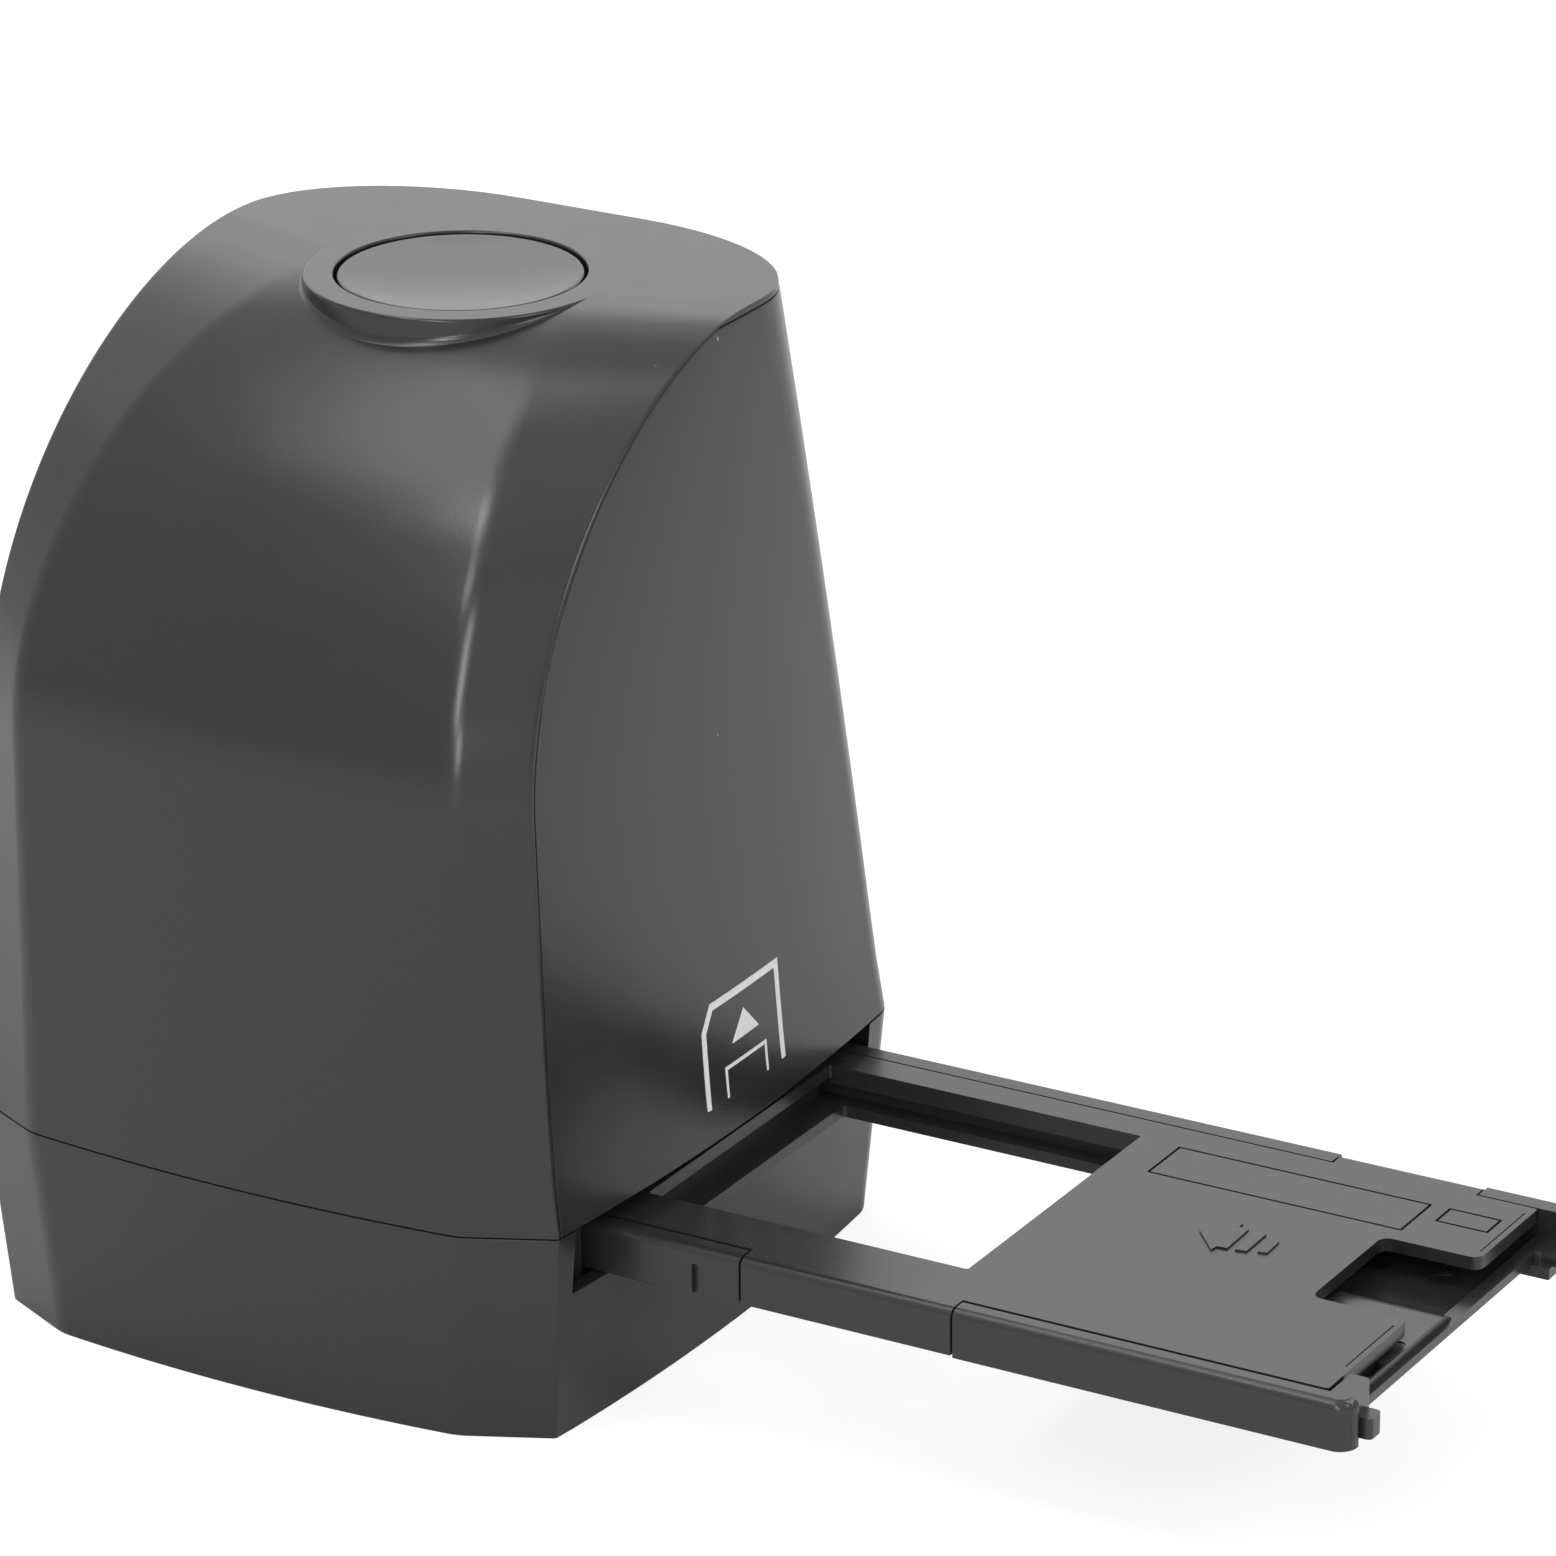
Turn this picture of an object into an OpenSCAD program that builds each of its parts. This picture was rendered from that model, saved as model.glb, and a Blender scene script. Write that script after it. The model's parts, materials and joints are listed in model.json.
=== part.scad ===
// Desktop film and slide scanner: a tower over a through slot, and the slide holder that runs in it.
// Millimetres. The origin is on the resting plane, under the optical axis. +X is the side that the
// holder is pulled out of, -Y the curved front, +Z up.

/* [Body] */
// Width of the body at the seam
body_w = 90; // [86:1:120]
// Height of the body over its resting plane
body_h = 135.6; // [130:0.2:170]
// Height of the seam between the base and the upper body
seam_z = 29.2; // [29.2:0.1:36]
// Room between the front face and the holder
front_room = 16.3; // [15:0.1:26]
// Room between the holder and the rear face
rear_room = 11.7; // [11:0.1:22]
// Thickness of the housing walls
wall = 2.2; // [1.6:0.1:2.8]
// How far the front corners are cut back along the front
corner_in = 11.5; // [6:0.1:16]
// How far the front corners are cut back along the sides
corner_back = 5.5; // [3:0.1:9]
// How far each side leans in from the seam to the top
side_lean = 4.7; // [0:0.1:7]
// How far the rear leans in from the seam to the top
rear_lean = 7.8; // [2:0.1:12]
// How far the base draws in from the seam to the table
base_taper = 2.1; // [0:0.1:3]
// Bulge of the side faces
side_bow = 2.2; // [0:0.1:3]
// Bulge of the front face
front_bow = 1.8; // [0:0.1:3]
// Depth of the arch that turns the front into the top
arch_h = 50.7; // [40:0.1:70]

/* [Scan button] */
// Radius of the button cap
button_r = 16; // [12:0.1:17]
// How far the button sits behind the optical axis
button_y = 5.4; // [2:0.1:9]
// Width of the collar around the button
collar_w = 3.9; // [3:0.1:5]
// Travel of the button
button_travel = 0.8; // [0.4:0.1:1.2]
// Radius of the button's guide stem
stem_r = 3; // [2:0.1:4]

/* [Slide holder] */
// Edge length of a mounted slide
slide_size = 50; // [45:0.5:60]
// Length of the holder
holder_l = 164.4; // [150:0.2:200]
// Width of the rail on the latch side
latch_rail = 9.4; // [8:0.1:14]
// Width of the rail on the hinge side
hinge_rail = 6; // [5.6:0.1:10]
// Thickness of the holder
holder_t = 6.6; // [6.4:0.1:7.6]
// Distance of the slide's centre from the optical axis at rest
pulled_out = 67.3; // [20:0.1:80]
// Thickness of the lid plate
lid_t = 1.8; // [1.4:0.1:2.2]
// Radius of the lid's hinge pins
pin_r = 0.6; // [0.4:0.05:0.8]

/* [Optics] */
// Height of the sensor board over the holder's top
optic_h = 69; // [60:1:74]
// Radius of the lens barrel
barrel_r = 6; // [4:0.1:7]
// Edge length of the image sensor
sensor_size = 9; // [6:0.5:11]
// Edge length of the lit window under the film
lit_size = 44; // [38:1:46]

/* [Fits] */
// Room on each side of the holder in its channel
slide_gap = 0.3; // [0.2:0.05:0.6]
// Radial room of a shaft that turns or slides in a bore
run_gap = 0.06; // [0.02:0.01:0.1]
// Joint line between housing parts
seam_gap = 0.15; // [0.05:0.05:0.3]
// Room around a piece that drops into a pocket
seat_gap = 0.1; // [0.05:0.05:0.3]
// Radius of the screws in the housing
screw_r = 1.25; // [1:0.05:1.5]

/* [Hidden] */
$fn = 48;

shade = "#3f4042";
eps = 0.01;
big = 400;

// Holder, across and along
pocket = slide_size + 2*slide_gap;
holder_y0 = -pocket/2 - latch_rail;
holder_y1 = pocket/2 + hinge_rail;
holder_x0 = pulled_out - holder_l/2;
holder_x1 = pulled_out + holder_l/2;
holder_z1 = seam_z - 2.3;
holder_z0 = holder_z1 - holder_t;
floor_t = 1.6;
side_t = 2.7;
lid_z0 = holder_z1 - lid_t;
lid_inset = 4.5;
lid_window = slide_size - 3.4;
ledge_window = [slide_size - 8.6, slide_size - 5.1];
part_gap = 0.3;
latch_x0 = pulled_out - 3.3;
latch_x1 = pulled_out + 27.4;
skirt_t = 1.5;
catch_d = 1.2;
tab_out = 2.9;
knuckle_in = 48.7;
knuckle_l = 20.3;
knuckle_r = 1.5;
hinge_y = holder_y1 - knuckle_r;
hinge_z = holder_z1 - knuckle_r;
pin_l = knuckle_l + 6;
notch_w = 20.2;
notch_l = 13.5;
notch_y = 0.9;
detent_x = -9.6;
detent_w = 1.1;

// Body outline
front_y = holder_y0 - front_room;
rear_y = holder_y1 + rear_room;
arch_z = body_h - arch_h;
arch_p = 1.86;
arch_n = 12;
front_lean = 0.6;
top_front_y = front_y + 56.3;
top_side_y = front_y + 63.1;
side_y = front_y + corner_back;
lean_p = 0.62;
corner_top = corner_in + 14.8;
rear_r = 7;
rear_top = [30, 20.5];
seam_back = 0.5;
top_lip = 0.8;
tongue_h = 1.6;
tongue_t = 1.4;

// Slot and channel
slot_z0 = holder_z0 - 0.1;
slot_y0 = holder_y0 - 7.2;
slot_y1 = holder_y1 + 2;
rail_t = 1.6;
rail_z1 = seam_z + 0.2;
channel_t = 2;
channel_x = body_w/2 - wall - 1.8;
channel_z0 = slot_z0 - channel_t;
rim_h = 1.5;
deck_z = rim_h + 2;
screw_x = body_w/2 - 15;
screw_front = holder_y0 - 7.1;
screw_rear = holder_y1 + 5.3;
column_r = 2.8;
head_ratio = 1.8;
head_z = seam_z - 11.2;
base_screw_l = 18;
upper_boss_h = 12;
web_t = 1.6;
boss_x = 14;
boss_r = 2.2;
boss_out = slide_gap + rail_t + boss_r - 0.6;
boss_front = holder_y0 - boss_out;
boss_rear = holder_y1 + boss_out;
boss_drop = 4;
post_x = channel_x - 5;
post_y = slide_size/2 + 3;
sink = 1.2;
thread_r = 0.9;
pilot_r = thread_r + 0.05;
clear_r = thread_r + 0.25;
leaf_t = 0.3;
leaf_h = 3.4;
leaf_z0 = slot_z0 + 1.8;
leaf_x1 = boss_x - boss_r - 0.5;
bump_half = 1.8;
rail_back = holder_y0 - slide_gap - rail_t;
foot_r = 4.5;
foot_x = body_w/2 - 12;
foot_front = front_y + 19;
foot_rear = rear_y - 16;

// Backlight
board_t = 1.2;
light_z = deck_z + 2.5;
box_w = lit_size + 6;
box_z1 = channel_z0;
diffuser_t = 1.5;
window_t = 1.2;
led_n = 4;
led_pitch = (lit_size - 8)/led_n;
lip = 1.5;
light_post = box_w/2 - 4;

// Optical column
plate_z0 = rail_z1;
plate_t = 2;
shroud_in = [lit_size, lit_size - 10];
shroud_top = 17;
shroud_t = 1.6;
leg = [shroud_in[0]/2 + 6, shroud_in[1]/2 + 7];
leg_r = 2.5;
sensor_z = holder_z1 + optic_h;
board2_t = 1.6;
frame_top = sensor_z - 8;
frame_top_t = 2.5;
holder_flange = max(2*barrel_r + 12, sensor_size + 15);
flange_screw = holder_flange/2 - 2.5;
neck_r = barrel_r + 1.6;
neck_l = 10.5;
barrel_l = 18;
barrel_z1 = sensor_z - 4.2;
barrel_t = 1.4;
lens_r = barrel_r - barrel_t - seat_gap;
sensor_t = 1.4;
filter_z = sensor_z - 3.8;

// Main board
main_w = 52;
main_h = 46;
main_z0 = plate_z0 + 7;
main_y0 = holder_y1 - 0.3;
main_post = [main_w/2 - 3, 4];
usb_x = -12;
usb_z = main_z0 + 8;
usb_size = [9, 4.6];
ribbon_t = 0.3;

// Button group
cap_gap = 0.4;
collar_r = button_r + cap_gap + collar_w;
collar_screw = button_r + cap_gap + collar_w/2;
collar_z0 = body_h - 7.6;
cap_z0 = body_h - 4.1;
cap_z1 = body_h - 0.25;
cap_t = 1.4;
cap_floor = cap_z0 + 1.6;
flange_in = 0.7;
flange_t = 0.8;
guide_t = 2;
guide_z0 = collar_z0 - guide_t;
stem_z0 = guide_z0 - 2;
plunger_r = 1.7;
plunger_h = button_travel + 0.7;
switch_h = button_travel + 2.6;
plunger_z0 = 1.2 + button_travel;
switch_z0 = stem_z0 - plunger_h - switch_h;
button_board_z = switch_z0 - board_t;
button_post_x = 13;
button_post_r = 2;
coil_r = stem_r + 2.2;
wire_r = 0.35;
coil_turns = 2.5;

function mix(a, b, u) = a + (b - a)*u;
function rise(z) = (z - seam_z)/(body_h - seam_z);
function half_w(z) = body_w/2 - base_in(z) - side_lean*lean_at(z);
function rear_at(z) = rear_y - base_in(z) - rear_lean*max(0, rise(z));
function base_in(z) = z < seam_z ? base_taper*(1 - z/seam_z) : 0;
// How far the arch has turned from the front (0) to the flat top (1)
function arch(z, top) = z <= arch_z ? 0
    : 1 - pow(1 - pow(min(1, (z - arch_z)/(top - arch_z)), arch_p), 1/arch_p);
function lean_at(z) = z < seam_z ? 0 : pow(rise(z), lean_p);
function front_at(z, top) = mix(front_y + front_lean*lean_at(z), top_front_y, arch(z, top)) + base_in(z);
function side_front(z, top) = mix(side_y + front_lean*lean_at(z), top_side_y, arch(z, top)) + base_in(z);

// Right half of the plan outline at height z, drawn in by t, from the front round to the rear
function half_outline(z, t, top) =
    let (w = half_w(z) - t,
        a = arch(z, top),
        xc = body_w/2 - mix(corner_in, corner_top, a) - base_in(z) - t*0.4,
        yf = front_at(z, top) + t,
        ys = side_front(z, top) + t*0.5,
        yr = rear_at(z) - t,
        k = pow(max(0, rise(z)), 1.5),
        rx = mix(rear_r, rear_top[0], k) - t*0.6,
        ry = mix(rear_r, rear_top[1], k) - t*0.6,
        bow = side_bow*pow((yr - ry - ys)/(rear_y - rear_r - side_y), 2))
    concat(
        [for (u = [0.3, 0.6]) [xc*u, yf - front_bow*(1 - u*u)]],
        [[xc, yf], [w, ys]],
        [for (u = [0.2:0.2:0.8]) [w + bow*4*u*(1 - u), mix(ys, yr - ry, u)]],
        [for (b = [0:18:90]) [w - rx + rx*cos(b), yr - ry + ry*sin(b)]]);
function outline(z, t, top) =
    let (h = half_outline(z, t, top), n = len(h))
    concat([[0, front_at(z, top) + t - front_bow]], h, [for (i = [n - 1:-1:0]) [-h[i][0], h[i][1]]]);

// Solid between the first and last of the heights zs, drawn in by t
module skin(zs, t, top) {
    rings = [for (z = zs) outline(z, t, top)];
    n = len(rings[0]);
    last = len(zs) - 1;
    points = [for (i = [0:last]) for (p = rings[i]) [p[0], p[1], zs[i]]];
    sides = [for (i = [0:last - 1]) for (j = [0:n - 1])
        let (a = i*n + j, b = i*n + (j + 1) % n) for (f = [[a, a + n, b], [b, a + n, b + n]]) f];
    bottom = [for (j = [0:n - 1]) j];
    lid = [for (j = [n - 1:-1:0]) last*n + j];
    polyhedron(points, concat([bottom], sides, [lid]));
}

mid_z = mix(seam_z, arch_z, 0.4);
function levels(z0, top) = concat([z0, mid_z], arch_levels(top));
function arch_levels(top) = [for (i = [0:arch_n]) mix(arch_z, top, pow(sin(90*i/arch_n), 1.05))];

// Solid in front of and above the line where the cover meets the sides
module cover_zone() {
    line = [for (z = levels(seam_z, body_h))
        if (z < body_h - top_lip) [side_front(z, body_h) + seam_back, z]];
    last = line[len(line) - 1];
    rotate([90, 0, 90])
        linear_extrude(height = big, center = true)
            polygon(concat([[-big, seam_z - 1], [line[0][0], seam_z - 1]], line,
                [[last[0] + 2, body_h - top_lip], [big, body_h - top_lip], [big, big], [-big, big]]));
}

module drill(x, y, z0, z1, r) {
    translate([x, y, z0])
        cylinder(r = r, h = z1 - z0);
}

module box(x0, x1, y0, y1, z0, z1) {
    translate([x0, y0, z0])
        cube([x1 - x0, y1 - y0, z1 - z0]);
}

// Pan-head screw with its head's underside at z0, pointing up
module screw(x, y, z0, len, r) {
    head_r = head_ratio*r;
    head_t = 1.1*r;
    difference() {
        union() {
            drill(x, y, z0 - head_t, z0, head_r);
            drill(x, y, z0 - eps, z0 + len, r);
        }
        for (turn = [0, 90])
            translate([x, y, z0 - head_t])
                rotate([0, 0, turn])
                    cube([1.3*r, 0.35*r, 0.9*head_t], center = true);
    }
}

module base_shell() {
    hole_r = screw_r + 0.15;
    post_foot = 1.2;
    color(shade)
    difference() {
        union() {
            difference() {
                skin([0, seam_z], 0, body_h);
                skin([deck_z, seam_z + 1], wall, body_h);
                skin([-1, rim_h], wall + part_gap, body_h);
            }
            for (sx = [-1, 1]) {
                drill(sx*screw_x, screw_front, rim_h, seam_z, column_r);
                drill(sx*screw_x, screw_rear, rim_h, seam_z, column_r);
                box(sx*screw_x - web_t/2, sx*screw_x + web_t/2, front_y + wall, screw_front,
                    rim_h, seam_z - 4);
                box(sx*screw_x - web_t/2, sx*screw_x + web_t/2, screw_rear, rear_y - wall - base_taper,
                    rim_h, seam_z - 4);
                for (sy = [-1, 1])
                    drill(sx*post_x, sy*post_y, rim_h, channel_z0, boss_r);
                for (sy = [-1, 1])
                    drill(sx*light_post, sy*light_post, rim_h, light_z, boss_r);
                for (y = [foot_front, foot_rear])
                    drill(sx*foot_x, y, 0.6, rim_h + 1, foot_r + post_foot);
            }
        }
        for (sx = [-1, 1]) {
            for (y = [screw_front, screw_rear]) {
                drill(sx*screw_x, y, -1, head_z, head_ratio*screw_r + 0.25);
                drill(sx*screw_x, y, head_z - 1, seam_z + 1, hole_r);
            }
            for (sy = [-1, 1])
                drill(sx*post_x, sy*post_y, channel_z0 - 9, channel_z0 + 1, pilot_r);
            for (y = [foot_front, foot_rear])
                drill(sx*foot_x, y, -1, rim_h, foot_r + seat_gap);
            box(sx > 0 ? channel_x : -big, sx > 0 ? big : -channel_x, slot_y0, slot_y1,
                slot_z0, seam_z + 1);
        }
    }
}

module rubber_feet() {
    color("#222222")
    for (sx = [-1, 1], y = [foot_front, foot_rear])
        drill(sx*foot_x, y, 0, rim_h, foot_r);
}

module base_screws() {
    color("#9a9da1")
    for (sx = [-1, 1], y = [screw_front, screw_rear])
        screw(sx*screw_x, y, head_z, base_screw_l, screw_r);
}

// Screw boss that stands on the seam, with its web to the wall at y_wall
module upper_boss(x, y, y_wall) {
    difference() {
        union() {
            drill(x, y, seam_z, seam_z + upper_boss_h, column_r);
            box(x - web_t/2, x + web_t/2, min(y, y_wall), max(y, y_wall), seam_z, seam_z + upper_boss_h);
        }
        drill(x, y, seam_z - 1, seam_z + upper_boss_h - 2, screw_r + 0.05);
    }
}

module body_shell() {
    post_r = 2.4;
    color(shade)
    difference() {
        union() {
            difference() {
                skin(levels(seam_z, body_h), 0, body_h);
                skin(concat(levels(seam_z - 1, body_h), [body_h + 1]), wall, body_h);
                translate([0, seam_gap, -seam_gap])
                    cover_zone();
            }
            for (sx = [-1, 1])
                upper_boss(sx*screw_x, screw_rear, rear_y - wall/2 - 1);
            for (sx = [-1, 1], side = [0, 1])
                let (z = side == 0 ? main_z0 + main_post[1] : main_z0 + main_h - main_post[1])
                    translate([sx*main_post[0], main_y0 + board2_t, z])
                        rotate([-90, 0, 0])
                            cylinder(r = post_r, h = rear_at(z) - wall/2 - main_y0 - board2_t);
        }
        for (sx = [-1, 1], side = [0, 1])
            let (z = side == 0 ? main_z0 + main_post[1] : main_z0 + main_h - main_post[1])
                translate([sx*main_post[0], main_y0, z])
                    rotate([-90, 0, 0])
                        cylinder(r = pilot_r, h = 5);
        box(usb_x - usb_size[0]/2 - 0.3, usb_x + usb_size[0]/2 + 0.3, rear_y - rear_lean - 3, big,
            usb_z - usb_size[1]/2 - 0.3, usb_z + usb_size[1]/2 + 0.3);
    }
}

module front_cover() {
    bore_r = button_r + cap_gap;
    color(shade)
    difference() {
        union() {
            intersection() {
                difference() {
                    skin(levels(seam_z, body_h), 0, body_h);
                    skin(levels(seam_z - 1, body_h - wall), wall, body_h - wall);
                }
                cover_zone();
            }
            translate([0, button_y, collar_z0])
                cylinder(r = collar_r, h = body_h - collar_z0);
            // Top plate between the rear and side walls, with a rim that stands inside them
            intersection() {
                difference() {
                    skin([body_h - wall - tongue_h, body_h - top_lip + eps], wall + 2*seam_gap, body_h);
                    skin([body_h - wall - tongue_h - 1, body_h - wall], wall + 2*seam_gap + tongue_t,
                        body_h);
                }
                box(-big, big, top_side_y + 2, big, 0, big);
            }
            for (sx = [-1, 1])
                upper_boss(sx*screw_x, screw_front, front_y + wall/2 + 1);
        }
        translate([0, button_y, 0]) {
            cylinder(r = bore_r, h = big);
            cylinder(r = bore_r + flange_in, h = cap_z0 + flange_t + seat_gap);
        }
        for (turn = [90, 210, 330])
            translate([0, button_y, 0])
                rotate([0, 0, turn])
                    drill(collar_screw, 0, collar_z0 - 1, body_h - 2.6, pilot_r);
    }
}

// Frame, arrow and slide outline that show how the holder goes in
module insertion_mark() {
    mark_t = 0.12;
    line = 1.1;
    thin = 0.5;
    slide_w = 10.2;
    slide_h = 4.2;
    mark_y = -0.8;
    mark_z = seam_z + 4.3;
    frame_w = 19.5;
    frame_h = 14.2;
    color("#e8e8e8")
    intersection() {
        difference() {
            skin([seam_z, mid_z], -mark_t, body_h);
            skin([seam_z - 1, seam_z, mid_z, arch_z], 0, body_h);
        }
        translate([0, mark_y, mark_z])
            rotate([90, 0, 90])
                linear_extrude(height = big) {
                    difference() {
                        polygon([[-frame_w/2, 0], [-frame_w/2, frame_h - 3], [-frame_w/2 + 3, frame_h],
                            [frame_w/2, frame_h], [frame_w/2, 0]]);
                        polygon([[-frame_w/2 + line, -1], [-frame_w/2 + line, frame_h - 3.4],
                            [-frame_w/2 + 3.4, frame_h - line], [frame_w/2 - line, frame_h - line],
                            [frame_w/2 - line, -1]]);
                    }
                    polygon([[-3.7, frame_h - 7], [3.7, frame_h - 7], [0, frame_h - 3]]);
                    difference() {
                        translate([-slide_w/2, 0])
                            square([slide_w, slide_h]);
                        translate([-slide_w/2 + thin, -1])
                            square([slide_w - 2*thin, slide_h + 1 - thin]);
                    }
                }
    }
}

// Floor that the holder slides on, over the backlight
module tray_channel() {
    half = lit_size/2;
    color("#2b2c2e")
    difference() {
        union() {
            box(-channel_x, channel_x, rail_back, holder_y1 + slide_gap + rail_t, channel_z0, slot_z0);
            for (sx = [-1, 1], y = [boss_front, boss_rear])
                drill(sx*boss_x, y, channel_z0 - boss_drop, slot_z0, boss_r);
        }
        box(-half + lip, half - lip, -half + lip, half - lip, 0, slot_z0 + 1);
        box(-half, half, -half, half, slot_z0 - window_t, slot_z0 + 1);
        for (sx = [-1, 1]) {
            for (sy = [-1, 1]) {
                drill(sx*post_x, sy*post_y, channel_z0 - 1, slot_z0 + 1, clear_r);
                drill(sx*post_x, sy*post_y, slot_z0 - sink, slot_z0 + 1, head_ratio*thread_r + 0.4);
            }
            for (y = [boss_front, boss_rear])
                drill(sx*boss_x, y, channel_z0 - boss_drop + 0.8, slot_z0 + 1, pilot_r);
        }
    }
}

// Rail with two screw bosses; side is -1 for the front one and 1 for the rear one
module channel_rail(side) {
    inner = side < 0 ? holder_y0 - slide_gap : holder_y1 + slide_gap;
    boss_y = inner + side*(boss_out - slide_gap);
    difference() {
        union() {
            box(-channel_x, channel_x, min(inner, inner + side*rail_t), max(inner, inner + side*rail_t),
                slot_z0, rail_z1);
            for (sx = [-1, 1])
                drill(sx*boss_x, boss_y, slot_z0, rail_z1, boss_r);
        }
        for (sx = [-1, 1])
            drill(sx*boss_x, boss_y, slot_z0 - 1, rail_z1 + 1, clear_r);
    }
}

module front_rail() {
    clip_l = 3.2;
    clip_t = 0.9;
    clip_y = rail_back - leaf_t;
    color("#2b2c2e")
    difference() {
        union() {
            channel_rail(-1);
            // Clip that holds the fixed end of the detent spring against the rail
            box(leaf_x1 - clip_l, leaf_x1, clip_y - clip_t, clip_y, slot_z0, leaf_z0 + leaf_h);
            box(leaf_x1 - clip_l, leaf_x1, clip_y - clip_t, rail_back + eps, slot_z0, leaf_z0 - seat_gap);
        }
        // Window that the spring's bump reaches through
        box(detent_x - bump_half - seat_gap, detent_x + bump_half + 1, rail_back - 1,
            holder_y0, leaf_z0 - 0.5, leaf_z0 + leaf_h + 0.5);
    }
}

module rear_rail() {
    color("#2b2c2e")
    channel_rail(1);
}

module channel_screws() {
    color("#9a9da1")
    for (sx = [-1, 1], sy = [-1, 1])
        translate([sx*post_x, sy*post_y, slot_z0 - sink])
            rotate([180, 0, 0])
                screw(0, 0, 0, 8, thread_r);
}

// Leaf spring, clipped at one end, whose bump clicks into the notch in the holder's rail
module detent_spring() {
    bump = slide_gap + rail_t - 0.15;
    tip = 0.5;
    x0 = -bump_half;
    x1 = leaf_x1 - detent_x;
    color("#b9bcc0")
    translate([detent_x, rail_back, leaf_z0])
        linear_extrude(height = leaf_h)
            difference() {
                polygon([[x0, -leaf_t], [x0, 0], [-tip, bump], [tip, bump], [bump_half, 0], [x1, 0],
                    [x1, -leaf_t]]);
                polygon([[x0 + leaf_t, -1], [x0 + leaf_t, 0], [-tip, bump - leaf_t], [tip, bump - leaf_t],
                    [bump_half - leaf_t, 0], [bump_half - leaf_t, -1]]);
            }
}

module backlight_board() {
    color("#2f6b45")
    difference() {
        box(-box_w/2 - 1, box_w/2 + 1, -box_w/2 - 1, box_w/2 + 1, light_z, light_z + board_t);
        for (sx = [-1, 1], sy = [-1, 1])
            drill(sx*light_post, sy*light_post, light_z - 1, light_z + board_t + 1, 0.8);
    }
}

module backlight_leds() {
    led = [3, 2.8, 1.2];
    color("#f2efd8")
    for (i = [0:led_n - 1], j = [0:led_n - 1])
        translate([(i - (led_n - 1)/2)*led_pitch - led[0]/2, (j - (led_n - 1)/2)*led_pitch - led[1]/2,
            light_z + board_t])
            cube(led);
}

module light_box() {
    z0 = light_z + board_t;
    color("#f0f0ee")
    difference() {
        box(-box_w/2, box_w/2, -box_w/2, box_w/2, z0, box_z1);
        box(-lit_size/2, lit_size/2, -lit_size/2, lit_size/2, z0 - 1, box_z1 + 1);
        box(-lit_size/2 - lip, lit_size/2 + lip, -lit_size/2 - lip, lit_size/2 + lip,
            box_z1 - diffuser_t, box_z1 + 1);
    }
}

module diffuser() {
    half = lit_size/2 + lip - seat_gap;
    color("#fbfbfb")
    box(-half, half, -half, half, box_z1 - diffuser_t, box_z1);
}

module dust_window() {
    half = lit_size/2 - seat_gap;
    color("#dfe8ea")
    box(-half, half, -half, half, slot_z0 - window_t, slot_z0);
}

module optical_frame() {
    half_x = body_w/2 - 9;
    color("#2b2c2e")
    difference() {
        union() {
            box(-half_x, half_x, holder_y0 - 2, holder_y1 + 1.6, plate_z0, plate_z0 + plate_t);
            for (sx = [-1, 1]) {
                drill(sx*boss_x, boss_front, plate_z0, plate_z0 + plate_t, boss_r + 1);
                drill(sx*boss_x, boss_rear, plate_z0, plate_z0 + plate_t, boss_r + 1);
                for (sy = [-1, 1])
                    drill(sx*leg[0], sy*leg[1], plate_z0, frame_top + frame_top_t, leg_r);
            }
            box(-leg[0] - leg_r, leg[0] + leg_r, -leg[1] - leg_r, leg[1] + leg_r,
                frame_top, frame_top + frame_top_t);
        }
        box(-shroud_in[0]/2, shroud_in[0]/2, -shroud_in[1]/2, shroud_in[1]/2,
            plate_z0 - 1, plate_z0 + plate_t + 1);
        drill(0, 0, frame_top - 1, frame_top + frame_top_t + 1, neck_r + 0.4);
        for (sx = [-1, 1]) {
            for (y = [boss_front, boss_rear])
                drill(sx*boss_x, y, plate_z0 - 1, plate_z0 + plate_t + 1, clear_r);
            for (sy = [-1, 1])
                drill(sx*flange_screw, sy*flange_screw, frame_top - 1, frame_top + frame_top_t + 1,
                    pilot_r);
        }
    }
}

// Long screws through the frame and the rails into the channel's floor
module frame_screws() {
    len = plate_z0 + plate_t - channel_z0 + 2.5;
    color("#9a9da1")
    for (sx = [-1, 1], y = [boss_front, boss_rear])
        translate([sx*boss_x, y, plate_z0 + plate_t])
            rotate([180, 0, 0])
                screw(0, 0, 0, len, thread_r);
}

// Tapered hood that keeps stray light off the film
module light_shroud() {
    shroud_h = frame_top - 18 - plate_z0 - plate_t;
    foot = [shroud_in[0] + 2*shroud_t, shroud_in[1] + 2*shroud_t];
    color("#1d1e20")
    translate([0, 0, plate_z0 + plate_t])
        difference() {
            linear_extrude(height = shroud_h, slices = 1, scale = [shroud_top/foot[0], shroud_top/foot[1]])
                square(foot, center = true);
            translate([0, 0, -eps])
                linear_extrude(height = shroud_h + 2*eps, slices = 1,
                    scale = [(shroud_top - 2*shroud_t)/shroud_in[0], (shroud_top - 2*shroud_t)/shroud_in[1]])
                    square(shroud_in, center = true);
        }
}

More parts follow.
